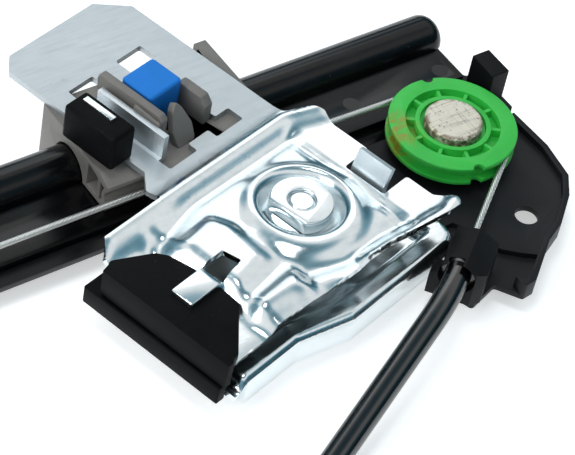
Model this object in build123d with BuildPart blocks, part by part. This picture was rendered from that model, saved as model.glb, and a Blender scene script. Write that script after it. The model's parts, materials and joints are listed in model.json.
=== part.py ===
import os
from math import acos, atan2, cos, degrees, radians, sin, tan

from build123d import *

os.makedirs("parts", exist_ok=True)

# Single-rail cable window regulator, lying glass side up.  Millimetres, +Z up.
# The origin is the fixing hole of the lower head plate, at the plate's top face.
# +X runs along the guide rail towards the lower pulley, so the glass rises towards -X.

# ---- driving dimensions -------------------------------------------------------------
# whole assembly
lower_pulley_x, lower_pulley_y = -3.7, 25.7     # lower pulley axis, from the fixing hole
pulley_spacing = 460.0                           # lower to upper pulley axis
glass_travel = 330.0                             # slider stroke, closed by the stop buffer
rest_depth = 6.5                                 # head plate top down to the ground it lies on
moving_gap = 0.4                                 # between pieces that slide past each other
journal_gap = 0.05                               # radial running clearance on a journal
seat_gap = 0.1                                   # axial room of a turning piece

# guide rail
gauge = 1.5                                      # sheet of rail, head plates and lift plate
bead_r, bead_y = 5.5, 31.9                       # round bead and its line across the rail
bead_skirt = 4.5                                 # back wall of the bead, below the web's top
web_front = 12.8                                 # front fold of the web
flange_drop, flange_width = 2.0, 3.8             # stepped-down front flange
rivet_y, rivet_spread = 20.5, 13.0                # rivets to the head plates, across and along
rivet_r, rivet_tail_r, rivet_tail_thick = 2.0, 3.6, 1.0
rail_end = 17.0                                  # web past each pulley axis
bead_end, bead_round = 19.5, 4.0                 # bead past each pulley axis, rounding of its end
notch_x, notch_y = 5.0, 16.5                     # web cut back beside each pulley

# pulleys and their stub rivets
pulley_r, pulley_thick, pulley_float = 15.0, 5.0, 3.0
wrap_r, rim_lip = 13.8, 1.0                      # cable centre line, flange thickness
stub_r, stub_head_r, stub_head_thick = 4.0, 6.7, 2.5
stub_tail_r, stub_tail_thick = 5.5, 1.2
hub_r, sunk_r, sunk_depth = 8.8, 7.7, 1.3        # ring and recess round the rivet head
pocket_r, pocket_depth = 11.05, 2.4
rib_count, rib_thick, rib_drop = 10, 0.8, 0.4
rim_notch_r, rim_notch_angle = 1.4, 77.0

# head plates
fixing_hole_r = 2.75
rim_height = 1.7                                 # turned-up rim at the plate's free side
step_depth = 1.5                                 # pressed step below the sheath holder
channel_wall = 1.5                               # pressed channel that takes the rail's flange
foot_width, foot_y = 16.0, 35.6                  # turned-down foot under the bead
block_x, block_y, block_height = 4.9, 8.0, 11.0  # locating block
block_at = (18.0, 10.0)

# cable, sheath and sheath holder
cable_r, cable_y, cable_kink_x = 0.75, 15.0, -36.0
exit_angle = 217.0                               # cable's heading into the lower holder
sheath_r, sheath_bore_r, cable_bore_r = 3.0, 1.1, 1.15
holder_from, holder_length = 31.3, 12.5          # from the tangent point, along the cable
holder_left, holder_right, holder_top = 3.8, 6.2, 9.8
holder_ridge_at, holder_left_eave, holder_right_eave = 1.2, 8.4, 7.2
ferrule_r, ferrule_length, mouth_r, mouth_depth = 3.75, 8.0, 4.2, 2.5
ferrule_proud = 0.8                              # ferrule into the holder's mouth
wing_out, wing_slope, wing_top, wing_thick = 2.2, 1.0, 5.5, 4.0      # holder's wing beside the mouth
foot_bevel = 2.0                                 # holder's corner toward the pulley
bend_radius, bend_lead = 60.0, 6.0               # sheath's bends, straight length past the holder
drum_grip = 12.0                                 # cable's wrap to its anchor on the drum, degrees

# glass clamp on the lift plate: a along the clamp, b across it, from the clamp bolt
carriage_turn = 14.9                             # clamp's turn from square to the rail
clamp_x, clamp_y = -49.0, -8.4                   # clamp bolt, from the lower pulley axis
plate_top = 12.0
plate_left, plate_right, plate_back = -18.8, 18.3, 73.9
neck_left, bend_b = -22.6, 21.8
jaw_tip, jaw_heel, jaw_front, jaw_back = -44.0, 24.2, -21.5, 20.6
tongue_drop, tongue_from = 2.5, -31.0            # lowered tip that carries the glass pad
land_height = 1.5                                # pressed-up lands
dish_r, dish_bore_r, dish_depth = 13.6, 9.2, 2.0
hook_length, hook_lift = 9.4, 0.9                 # hook bent out of the jaw, over the glass pad
side_flange = 2.2                                # turned-up edges of the jaw
window_front = 25.9                              # plate window, nearest the jaw
notch_a, notch_b = 15.5, (-10.2, 1.0)            # notch for the lower jaw's fulcrum tab
hole_slack = 0.4                                 # bolt hole, past the bolt's radius

# clamp screw and lower jaw
bolt_r, bolt_head_r, bolt_head_thick = 3.0, 5.5, 3.4
nut_r, nut_flat, nut_thick = 7.2, 5.0, 3.3
screw_washer_r, screw_washer_thick = 6.0, 1.0
tilt_room = 0.5                                  # washer to lower jaw, for the jaw's tilt
jaw_floor = 0.0                                  # underside of the lower jaw
jaw_rim_top, jaw_flange_foot = 4.6, -3.4         # rolled front rim, and its turned-down edge
rim_from, flange_end = 3.3, 18.5                 # rim starts behind the jaw's tip, edge turned down to here
hinge_a, hinge_z = 17.8, 12.0                    # fulcrum of the lower jaw
fulcrum_b, fulcrum_top, fulcrum_lean = (-9.3, 0.1), 16.5, 1.7
jaw_hole_r = 4.3

# glass pads
pad_wall, pad_front, pad_back = 1.9, -19.7, 15.6
lower_pad_front, lower_pad_back = -18.9, 19.5
lip_proud, pad_slit = 0.7, 0.5
pad_depth = 15.0                                 # how far the pads reach into the jaws
lower_pad_thick, lip_wall = 2.4, 1.0             # lower pad over and under its jaw
leaf_front = -15.6                               # upper pad's lower leaf, clear of the lower jaw's rim

# stop buffer, lock wedge and slider
buffer_a, buffer_b = (-24.7, -17.5), (33.8, 48.8)
buffer_height = 10.0
buffer_tab_a, buffer_tab_b = -21.0, (38.2, 47.1) # tab inside the buffer
tab_a, tab_b, tab_height = -14.5, (27.6, 48.0), 8.0      # tab along the window
wedge_a, wedge_b, wedge_top = (-7.7, 2.5), (38.3, 47.5), 20.0
well_depth, wedge_foot = 3.0, 2.0                # well under the lock wedge
slider_left, slider_right = -82.5, -38.4         # slider ends, from the lower pulley axis
slider_front, slider_back = 4.0, 43.8
nipple_block_left = -70.5                        # left of it the cable runs beside the slider
post_thick, post_y = 3.2, (37.9, 45.8)           # post at the slider's lower end
left_arm_a, left_arm_b = (-12.0, -9.2), (32.0, 50.7)     # arms through the window
right_arm_a, right_arm_b = (3.0, 5.6), (31.5, 48.5)
tongue_a, tongue_b = (-5.2, -2.0), (30.2, 34.6)  # tongue in front of the wedge
arm_top, arm_low, arm_step_b = 20.0, 17.0, 37.0  # arms, and their lower steps
nipple_r, nipple_length, nipple_bore_r = 2.4, 7.0, 1.1
lower_nipple_x, upper_nipple_x = -58.0, -66.0    # cable ends inside the slider
bolt_end = 13.0                                  # top of the clamp bolt's thread
stop_from, stop_foot, stop_height = 3.0, 9.0, 8.5  # stop bracket: from the upper pulley axis, foot, face
stop_lift = 1.5                                  # stop face and strip over the lift plate
stop_strip_y, stop_foot_y = (20.5, 29.5), (16.8, 26.2)

# cable drum and its housing
drum_y = -128.0                                  # drum axis, across from the pulley axes
drum_r, groove_count, groove_pitch = 21.0, 7, 1.9
drum_exit = 27.0                                 # cable's heading off the drum
housing_r, housing_wall, cover_thick, cover_gap = 31.0, 2.5, 2.5, 0.3
housing_top, cable_room = 12.0, 8.0              # rim under the cover, cable's way in
spigot_r, spigot_height, socket_r, socket_depth = 5.0, 8.0, 6.0, 5.0
spline_count, spline_long, spline_wide, cover_hole = 8, 2.4, 2.0, 2.0
nozzle_r, nozzle_from, nozzle_reach, sheath_seat = 5.6, 18.0, 42.0, 12.0
motor_circle, motor_hole_r, ear_r = 84.0, 3.25, 6.5      # ears for the motor's screws
screw_out, boss_r = 0.2, 3.6                     # cover screws, past the housing's radius
cover_screw_r, cover_head_r, cover_screw_length = 1.5, 2.8, 8.0
cover_head_thick, recess_long, recess_short, cross_depth = 1.6, 2.6, 0.7, 0.9
spring_r, spring_wire_r, spring_turns, spring_pitch = 4.4, 0.45, 6, 2.4
collar_r, collar_length = 5.0, 3.0

# ---- shared geometry ----------------------------------------------------------------
ground = -rest_depth
web_top = gauge
web_back = bead_y - bead_r
flange_top = web_top - flange_drop
rail_front = web_front - flange_width
upper_x = -pulley_spacing
middle_x = upper_x / 2
pulley_bottom = pulley_float
pulley_top = pulley_bottom + pulley_thick
cable_z = pulley_bottom + pulley_thick / 2
plate_under = plate_top - gauge
tongue_top = plate_top - tongue_drop

# the head plate's top face, with the lower pulley's axis as its centre
level = Plane((lower_pulley_x, lower_pulley_y, 0))
# the clamp's own frame, with the clamp bolt's axis as its centre
turn = radians(carriage_turn)
carriage = Plane(
    (lower_pulley_x + clamp_x, lower_pulley_y + clamp_y, 0), x_dir=(cos(turn), sin(turn), 0)
)


def across_rail(x):
    """Section at x along the rail: its x runs across the rail, its y upwards."""
    return Plane(level.from_local_coords((x, 0, 0)), x_dir=(0, 1, 0), z_dir=(1, 0, 0))


def across_clamp(a):
    """Section at a along the clamp: its x runs across the clamp, its y upwards."""
    return Plane(carriage.from_local_coords((a, 0, 0)), x_dir=carriage.y_dir, z_dir=carriage.x_dir)


def heading(angle, length=1.0):
    """A level vector at an angle from +X."""
    return Vector(length * cos(radians(angle)), length * sin(radians(angle)))


def save(piece, name):
    piece.label = name
    export_step(piece, f"parts/{name}.step")


def at_upper_end(piece):
    """The same piece, mirrored to the rail's upper end."""
    middle = Plane(level.from_local_coords((middle_x, 0, 0)), z_dir=(1, 0, 0))
    return mirror(piece, about=middle)


def box_between(a_range, b_range):
    """A rectangle between two pairs of limits, in the current sketch."""
    with Locations(((a_range[0] + a_range[1]) / 2, (b_range[0] + b_range[1]) / 2)):
        Rectangle(a_range[1] - a_range[0], b_range[1] - b_range[0])


def outline(*points):
    """A closed straight-sided outline, in the current sketch."""
    Polygon(*points, align=None)


def smooth_run(points, radius):
    """Straight lengths joined by arcs, through points given in the level frame."""
    points = [level.from_local_coords(point) for point in points]
    start = points[0]
    edges = []
    for before, corner, after in zip(points, points[1:], points[2:]):
        inward = (corner - before).normalized()
        outward = (after - corner).normalized()
        reach = radius * tan(radians(inward.get_angle(outward)) / 2)
        bend_start = corner - inward * reach
        bend_end = corner + outward * reach
        edges.append(Edge.make_line(start, bend_start))
        edges.append(Edge.make_tangent_arc(bend_start, inward, bend_end))
        start = bend_end
    edges.append(Edge.make_line(start, points[-1]))
    return edges


def arc_about(centre, radius, start_angle, end_angle):
    """A level arc at the cable's height, about a point of the level frame."""
    angles = (start_angle, (start_angle + end_angle) / 2, end_angle)
    ends = [level.from_local_coords(centre + heading(angle, radius)) for angle in angles]
    return Edge.make_three_point_arc(*ends)


# ---- guide rail ---------------------------------------------------------------------
rivet_spots = [
    (end + side * rivet_spread, rivet_y) for end in (0.0, upper_x) for side in (-1, 1)
]

with BuildPart() as guide_rail:
    with BuildSketch(across_rail(upper_x - rail_end)):
        with Locations((web_front, web_top)):
            Rectangle(web_back + gauge - web_front, gauge, align=(Align.MIN, Align.MAX))
            Rectangle(gauge, flange_drop + gauge, align=(Align.MIN, Align.MAX))
        with Locations((rail_front, flange_top)):
            Rectangle(flange_width + gauge, gauge, align=(Align.MIN, Align.MAX))
    extrude(amount=pulley_spacing + 2 * rail_end)
    with BuildSketch(across_rail(upper_x - bead_end + bead_r)):
        with Locations((bead_y, web_top)):
            Circle(bead_r)
            Circle(bead_r - gauge, mode=Mode.SUBTRACT)
            Rectangle(2 * bead_r, bead_r, align=(Align.CENTER, Align.MAX), mode=Mode.SUBTRACT)
        with Locations((bead_y + bead_r, web_top)):
            Rectangle(gauge, bead_skirt, align=(Align.MAX, Align.MAX))
    extrude(amount=pulley_spacing + 2 * (bead_end - bead_r))
    # rounded ends of the bead, hollow like the rest of it
    bead_axis = Axis(level.from_local_coords((0, bead_y, web_top)), (-1, 0, 0))
    for inner, how in ((0, Mode.ADD), (gauge, Mode.SUBTRACT)):
        for start, side in ((upper_x - bead_end + bead_r, -1), (bead_end - bead_r, 1)):
            far, high = start + side * (bead_r - inner), bead_y - bead_r + inner
            with BuildSketch(level.offset(web_top)) as bead_cap:
                outline((start, bead_y), (far, bead_y), (far, high), (start, high))
                fillet(bead_cap.vertices().sort_by(Axis((0, 0, 0), (side, -1, 0)))[-1], bead_round - inner)
            revolve(axis=bead_axis, revolution_arc=180, mode=how)
    for end, outward in ((upper_x - notch_x, Align.MAX), (notch_x, Align.MIN)):
        with BuildSketch(level.offset(flange_top - gauge)):
            with Locations((end, notch_y)):
                Rectangle(rail_end, notch_y, align=(outward, Align.MAX))
        extrude(amount=flange_drop + gauge, mode=Mode.SUBTRACT)
    with BuildSketch(level):
        with Locations(*rivet_spots):
            Circle(rivet_r)
    extrude(amount=web_top, mode=Mode.SUBTRACT)
save(guide_rail.part, "guide_rail")

# ---- head plates --------------------------------------------------------------------
head_outline = (
    (-30.0, foot_y), (-30.0, 9.5), (-24.2, 3.0), (-18.2, -22.0), (-19.6, -27.0), (-26.5, -31.5),
    (-23.0, -41.0), (-14.9, -38.3), (-11.0, -43.9), (-7.9, -43.5), (2.4, -35.3), (8.2, -32.4),
    (15.4, -26.3), (19.3, -21.1), (20.9, -11.1), (20.3, 2.0), (22.6, 4.0), (22.6, 16.0),
    (18.4, 17.7), (18.4, foot_y),
)
step_outline = (
    (-50.0, -19.0), (-12.4, -18.4), (-8.8, -23.5), (-8.6, -27.0), (-6.8, -30.6), (-3.8, -33.2),
    (0.6, -36.2), (20.0, -55.0), (-50.0, -55.0),
)
rim_left, rim_back = -11.5, 1.0
channel_x, channel_y = (-30.0, notch_x + moving_gap), (rail_front - moving_gap, web_front + gauge)

with BuildSketch() as plate_face:
    outline(*head_outline)
    fillet(plate_face.vertices(), 0.9)
with BuildSketch() as rim_face:
    add(plate_face.sketch)
    offset(plate_face.sketch, amount=-gauge, mode=Mode.SUBTRACT)
    with Locations((rim_left, rim_back)):
        Rectangle(60.0, 60.0, align=(Align.MIN, Align.MAX), mode=Mode.INTERSECT)
with BuildSketch() as step_face:
    outline(*step_outline)

with BuildPart() as lower_head_plate:
    with BuildSketch(level):
        add(plate_face.sketch)
    extrude(amount=-gauge)
    with BuildSketch(level.offset(-gauge)):
        add(plate_face.sketch)
        add(step_face.sketch, mode=Mode.INTERSECT)
    extrude(amount=-step_depth)
    with BuildSketch(level):
        offset(step_face.sketch, amount=-gauge)
    extrude(amount=-step_depth, mode=Mode.SUBTRACT)
    with BuildSketch(level.offset(-gauge - step_depth)):
        add(rim_face.sketch)
    extrude(amount=gauge + step_depth + rim_height)
    # channel for the rail's front flange, cleared where the flange drops below the plate
    with BuildSketch(level.offset(flange_top - 2 * gauge)):
        box_between(
            (channel_x[0], channel_x[1] + channel_wall),
            (channel_y[0] - channel_wall, channel_y[1] + channel_wall),
        )
    extrude(amount=2 * gauge - flange_top - gauge / 3)
    with BuildSketch(level.offset(flange_top - gauge)):
        box_between(channel_x, channel_y)
    extrude(amount=gauge - flange_top, mode=Mode.SUBTRACT)
    # seat of the pulley
    with BuildSketch(level):
        Circle(hub_r)
    extrude(amount=pulley_float - seat_gap, taper=12)
    # foot under the rail's bead
    with BuildSketch(level):
        with Locations((0, foot_y)):
            Rectangle(foot_width, gauge, align=(Align.CENTER, Align.MAX))
    extrude(amount=ground)
    with BuildSketch(level.offset(ground)):
        Circle(stub_r)
    extrude(amount=2 * rest_depth, mode=Mode.SUBTRACT)
    with BuildSketch(level.offset(-gauge)):
        with Locations(*rivet_spots):
            Circle(rivet_r)
    extrude(amount=gauge, mode=Mode.SUBTRACT)
    with BuildSketch(Plane.XY.offset(-gauge)):
        Circle(fixing_hole_r)
    extrude(amount=gauge, mode=Mode.SUBTRACT)
save(lower_head_plate.part, "lower_head_plate")
save(at_upper_end(lower_head_plate.part), "upper_head_plate")

# ---- rivets that hold the rail to the head plates -----------------------------------
with BuildPart() as rail_rivets:
    for bottom, top, radius in (
        (-gauge, web_top, rivet_r),
        (-gauge - rivet_tail_thick, -gauge, rivet_tail_r),
    ):
        with BuildSketch(level.offset(bottom)):
            with Locations(*rivet_spots):
                Circle(radius)
        extrude(amount=top - bottom)
save(rail_rivets.part, "rail_rivets")

# ---- pulleys, their stub rivets and the locating blocks ------------------------------
with BuildPart() as lower_pulley_rivet:
    with BuildSketch(level.offset(-gauge - stub_tail_thick)):
        Circle(stub_tail_r)
    extrude(amount=stub_tail_thick)
    with BuildSketch(level.offset(-gauge)):
        Circle(stub_r)
    extrude(amount=gauge + pulley_top)
    with BuildSketch(level.offset(pulley_top - sunk_depth + seat_gap)):
        Circle(stub_head_r)
    extrude(amount=stub_head_thick)
    chamfer(lower_pulley_rivet.faces().sort_by(Axis.Z)[-1].edges(), 0.4)
save(lower_pulley_rivet.part, "lower_pulley_rivet")
save(at_upper_end(lower_pulley_rivet.part), "upper_pulley_rivet")

with BuildPart() as lower_pulley:
    with BuildSketch(level.offset(pulley_bottom)):
        Circle(pulley_r)
        Circle(stub_r + journal_gap, mode=Mode.SUBTRACT)
    extrude(amount=pulley_thick)
    fillet(lower_pulley.edges().filter_by(GeomType.CIRCLE).sort_by(SortBy.RADIUS)[-2:], 0.3)
    with BuildSketch(level.offset(pulley_bottom + rim_lip)):
        Circle(pulley_r)
        Circle(wrap_r - cable_r - journal_gap, mode=Mode.SUBTRACT)
    extrude(amount=pulley_thick - 2 * rim_lip, mode=Mode.SUBTRACT)
    with BuildSketch(level.offset(pulley_top)):
        Circle(sunk_r)
    extrude(amount=-sunk_depth, mode=Mode.SUBTRACT)
    with BuildSketch(level.offset(pulley_top)):
        Circle(pocket_r)
        Circle(hub_r, mode=Mode.SUBTRACT)
    extrude(amount=-pocket_depth, mode=Mode.SUBTRACT)
    with BuildSketch(level.offset(pulley_top - pocket_depth)):
        with PolarLocations((hub_r + pocket_r) / 2, rib_count):
            Rectangle(pocket_r - hub_r + rib_thick, rib_thick)
    extrude(amount=pocket_depth - rib_drop)
    with BuildSketch(level.offset(pulley_bottom)):
        with PolarLocations(pulley_r, 2, start_angle=rim_notch_angle):
            Circle(rim_notch_r)
    extrude(amount=pulley_thick, mode=Mode.SUBTRACT)
save(lower_pulley.part, "lower_pulley")
save(at_upper_end(lower_pulley.part), "upper_pulley")

with BuildPart() as lower_locating_block:
    with BuildSketch(level):
        with Locations(block_at):
            Rectangle(block_x, block_y)
    extrude(amount=block_height)
    fillet(lower_locating_block.edges().filter_by(Axis.Z), 0.3)
    chamfer(lower_locating_block.faces().sort_by(Axis.Z)[-1].edges(), 0.3)
save(lower_locating_block.part, "lower_locating_block")
save(at_upper_end(lower_locating_block.part), "upper_locating_block")

# ---- sheath holders ------------------------------------------------------------------
# the cable leaves the pulley's groove at its tangent point
cable_off = heading(exit_angle + 90, wrap_r)
holder_start = cable_off + heading(exit_angle, holder_from)
holder_end = cable_off + heading(exit_angle, holder_from + holder_length)
holder_foot = -step_depth
# end face of the holder: its x runs to the right of the cable, its y upwards
holder_face = Plane(
    level.from_local_coords(holder_start),
    x_dir=heading(exit_angle + 90),
    z_dir=heading(exit_angle),
)

with BuildPart() as lower_cable_holder:
    with BuildSketch(holder_face):
        outline(
            (-holder_left, holder_foot), (-holder_left, holder_left_eave), (holder_ridge_at, holder_top),
            (holder_right, holder_right_eave), (holder_right, holder_foot),
        )
    extrude(amount=holder_length)
    chamfer(lower_cable_holder.edges().filter_by(Axis.Z).sort_by(Axis.Y)[0], foot_bevel)
    with BuildSketch(holder_face.offset(holder_length - wing_thick)):
        outline(
            (-holder_left - wing_out, holder_foot), (-holder_left - wing_out, wing_top - wing_slope),
            (-holder_left - wing_slope, wing_top), (0, wing_top), (0, holder_foot),
        )
    extrude(amount=wing_thick)
    with BuildSketch(holder_face):
        with Locations((0, cable_z)):
            Circle(cable_bore_r)
    extrude(amount=holder_length, mode=Mode.SUBTRACT)
    with BuildSketch(holder_face.offset(holder_length)):
        with Locations((0, cable_z)):
            Circle(ferrule_r)
    extrude(amount=-ferrule_length, mode=Mode.SUBTRACT)
    with BuildSketch(holder_face.offset(holder_length)):
        with Locations((0, cable_z)):
            Circle(mouth_r)
    extrude(amount=-mouth_depth, mode=Mode.SUBTRACT)
save(lower_cable_holder.part, "lower_cable_holder")
save(at_upper_end(lower_cable_holder.part), "upper_cable_holder")

with BuildPart() as lower_ferrule:
    with BuildSketch(holder_face.offset(holder_length - ferrule_length)):
        with Locations((0, cable_z)):
            Circle(ferrule_r)
            Circle(sheath_r, mode=Mode.SUBTRACT)
    extrude(amount=ferrule_length - mouth_depth + ferrule_proud)
save(lower_ferrule.part, "lower_ferrule")
save(at_upper_end(lower_ferrule.part), "upper_ferrule")

# ---- cables and sheaths --------------------------------------------------------------
drum_x = middle_x
drum_at = Vector(drum_x, drum_y)
lay_z = ground + sheath_r
cable_on_drum = drum_at + heading(drum_exit - 90, drum_r)
nozzle_end = cable_on_drum + heading(drum_exit, nozzle_reach)
sheath_start = cable_off + heading(exit_angle, holder_from + holder_length - ferrule_length)

# one half of the sheath's run, from its ferrule to the drum's nozzle
sheath_run = (
    sheath_start + Vector(0, 0, cable_z),
    holder_end + heading(exit_angle, bend_lead) + Vector(0, 0, cable_z),
    Vector(-86.0, -67.0, lay_z),
    Vector(-118.0, -90.0, lay_z),
    nozzle_end + heading(drum_exit, 26.0) + Vector(0, 0, cable_z),
    nozzle_end - heading(drum_exit, sheath_seat) + Vector(0, 0, cable_z),
)

sheath_path = Wire(smooth_run(sheath_run, bend_radius))

with BuildPart() as lower_sheath:
    with BuildSketch(Plane(level.from_local_coords(sheath_run[0]), z_dir=heading(exit_angle))):
        Circle(sheath_r)
    sweep(path=sheath_path)
    with BuildSketch(Plane(level.from_local_coords(sheath_run[0]), z_dir=heading(exit_angle))):
        Circle(sheath_bore_r)
    sweep(path=sheath_path, mode=Mode.SUBTRACT)
save(lower_sheath.part, "lower_sheath")
save(at_upper_end(lower_sheath.part), "upper_sheath")

lift = Vector(0, 0, cable_z)
kink = Vector(cable_kink_x, cable_y)
cable_on_angle = degrees(atan2(cable_y, cable_kink_x) - acos(wrap_r / kink.length))
cable_on = heading(cable_on_angle, wrap_r)
off_angle = exit_angle + 90 - 360


def cable(start_x):
    """A cable from its nipple at start_x, round the lower pulley and on to the drum."""
    path = Wire(
        smooth_run((Vector(start_x, cable_y) + lift, kink + lift, cable_on + lift), bend_radius / 2)
        + [arc_about(lift, wrap_r, cable_on_angle, off_angle)]
        + smooth_run((cable_off + lift, *sheath_run[1:-1], cable_on_drum + lift), bend_radius)
        + [arc_about(drum_at + lift, drum_r, drum_exit - 90, drum_exit - 90 - drum_grip)]
    )
    with BuildPart() as strand:
        with BuildSketch(across_rail(start_x)):
            with Locations((cable_y, cable_z)):
                Circle(cable_r)
        sweep(path=path)
    return strand.part


save(cable(lower_nipple_x), "lower_cable")
save(at_upper_end(cable(2 * middle_x - upper_nipple_x)), "upper_cable")

# ---- cable drum, its housing and the tension springs ----------------------------------
drum_level = Plane(level.from_local_coords(drum_at))
housing_floor = ground + housing_wall
drum_bottom = housing_floor + 2 * seat_gap
drum_top = housing_top - 2 * seat_gap
screw_spots = PolarLocations(housing_r + screw_out, 3, start_angle=30)
motor_spots = PolarLocations(motor_circle / 2, 3, start_angle=90)
nozzle_start = cable_on_drum + heading(drum_exit, nozzle_from)
nozzle_face = Plane(
    level.from_local_coords(nozzle_start + Vector(0, 0, cable_z)), z_dir=heading(drum_exit)
)
nozzle_length = nozzle_reach - nozzle_from
far_nozzle_face = Plane(
    level.from_local_coords(Vector(2 * drum_x - nozzle_start.X, nozzle_start.Y, cable_z)),
    z_dir=heading(180 - drum_exit),
)

with BuildPart() as cable_drum:
    with BuildSketch(drum_level.offset(drum_bottom)):
        Circle(drum_r + cable_r)
        Circle(spigot_r + journal_gap, mode=Mode.SUBTRACT)
    extrude(amount=drum_top - drum_bottom)
    for groove in range(-groove_count // 2 + 1, groove_count // 2 + 1):
        with BuildSketch(drum_level.offset(cable_z + groove * groove_pitch - cable_r)):
            Circle(drum_r + cable_r)
            Circle(drum_r - cable_r - journal_gap, mode=Mode.SUBTRACT)
        extrude(amount=2 * cable_r, mode=Mode.SUBTRACT)
    with BuildSketch(drum_level.offset(drum_top)):
        Circle(socket_r)
        with PolarLocations(socket_r, spline_count):
            Rectangle(spline_long, spline_wide)
    extrude(amount=-socket_depth, mode=Mode.SUBTRACT)
save(cable_drum.part, "cable_drum")

with BuildPart() as drum_housing:
    with BuildSketch(drum_level.offset(ground)):
        Circle(housing_r)
        with screw_spots:
            Circle(boss_r)
    extrude(amount=housing_top - ground)
    for face in (nozzle_face, far_nozzle_face):
        with BuildSketch(face):
            Circle(nozzle_r)
        extrude(amount=nozzle_length)
    with BuildSketch(drum_level.offset(ground)):
        with motor_spots:
            Circle(ear_r)
            Rectangle(
                motor_circle / 2 - housing_r + housing_wall, 2 * ear_r - housing_wall,
                align=(Align.MAX, Align.CENTER),
            )
    extrude(amount=housing_top + cover_thick - ground)
    with BuildSketch(drum_level.offset(housing_floor)):
        Circle(housing_r - housing_wall)
    extrude(amount=housing_top + cover_thick - housing_floor, mode=Mode.SUBTRACT)
    with BuildSketch(drum_level.offset(housing_top)):
        Circle(housing_r + cover_gap)
        with screw_spots:
            Circle(boss_r + cover_gap)
    extrude(amount=cover_thick, mode=Mode.SUBTRACT)
    with BuildSketch(drum_level.offset(housing_floor)):
        Circle(spigot_r)
    extrude(amount=spigot_height)
    for face in (nozzle_face, far_nozzle_face):
        with BuildSketch(face):
            Circle(cable_bore_r)
        extrude(amount=nozzle_length, mode=Mode.SUBTRACT)
        with BuildSketch(face):
            Circle(cable_bore_r)
        extrude(amount=-cable_room, mode=Mode.SUBTRACT)
        with BuildSketch(face.offset(nozzle_length)):
            Circle(sheath_r)
        extrude(amount=-sheath_seat, mode=Mode.SUBTRACT)
    with BuildSketch(drum_level.offset(ground)):
        with motor_spots:
            Circle(motor_hole_r)
    extrude(amount=housing_top + cover_thick - ground, mode=Mode.SUBTRACT)
    with BuildSketch(drum_level.offset(housing_top)):
        with screw_spots:
            Circle(cover_screw_r)
    extrude(amount=-cover_screw_length, mode=Mode.SUBTRACT)
save(drum_housing.part, "drum_housing")

with BuildPart() as drum_cover:
    with BuildSketch(drum_level.offset(housing_top)):
        Circle(housing_r)
        with screw_spots:
            Circle(boss_r)
        Circle(socket_r + cover_hole, mode=Mode.SUBTRACT)
        with screw_spots:
            Circle(cover_screw_r, mode=Mode.SUBTRACT)
    extrude(amount=cover_thick)
save(drum_cover.part, "drum_cover")

with BuildPart() as cover_screws:
    with BuildSketch(drum_level.offset(housing_top + cover_thick)):
        with screw_spots:
            Circle(cover_screw_r)
    extrude(amount=-cover_thick - cover_screw_length)
    with BuildSketch(drum_level.offset(housing_top + cover_thick)):
        with screw_spots:
            Circle(cover_head_r)
    extrude(amount=cover_head_thick)
    with BuildSketch(drum_level.offset(housing_top + cover_thick + cover_head_thick)):
        with screw_spots:
            Rectangle(recess_long, recess_short)
            Rectangle(recess_short, recess_long)
    extrude(amount=-cross_depth, mode=Mode.SUBTRACT)
save(cover_screws.part, "cover_screws")

coil_start = nozzle_face.offset(nozzle_length + spring_wire_r)
spring_path = Helix(
    spring_pitch, spring_pitch * spring_turns, spring_r,
    center=coil_start.origin, direction=coil_start.z_dir,
)

with BuildPart() as lower_tension_spring:
    with BuildSketch(Plane(spring_path @ 0, z_dir=spring_path % 0)):
        Circle(spring_wire_r)
    sweep(path=spring_path, is_frenet=True)
save(lower_tension_spring.part, "lower_tension_spring")
save(at_upper_end(lower_tension_spring.part), "upper_tension_spring")

collar_face = nozzle_face.offset(nozzle_length + spring_pitch * spring_turns + 2 * spring_wire_r)

with BuildPart() as lower_spring_collar:
    with BuildSketch(collar_face):
        Circle(collar_r)
        Circle(sheath_r, mode=Mode.SUBTRACT)
    extrude(amount=collar_length)
save(lower_spring_collar.part, "lower_spring_collar")
save(at_upper_end(lower_spring_collar.part), "upper_spring_collar")

# ---- slider ---------------------------------------------------------------------------
hook_thick = 2.0
skirt_foot = web_top - bead_skirt
recess_depth, recess_wall = 12.0, 1.2

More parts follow.
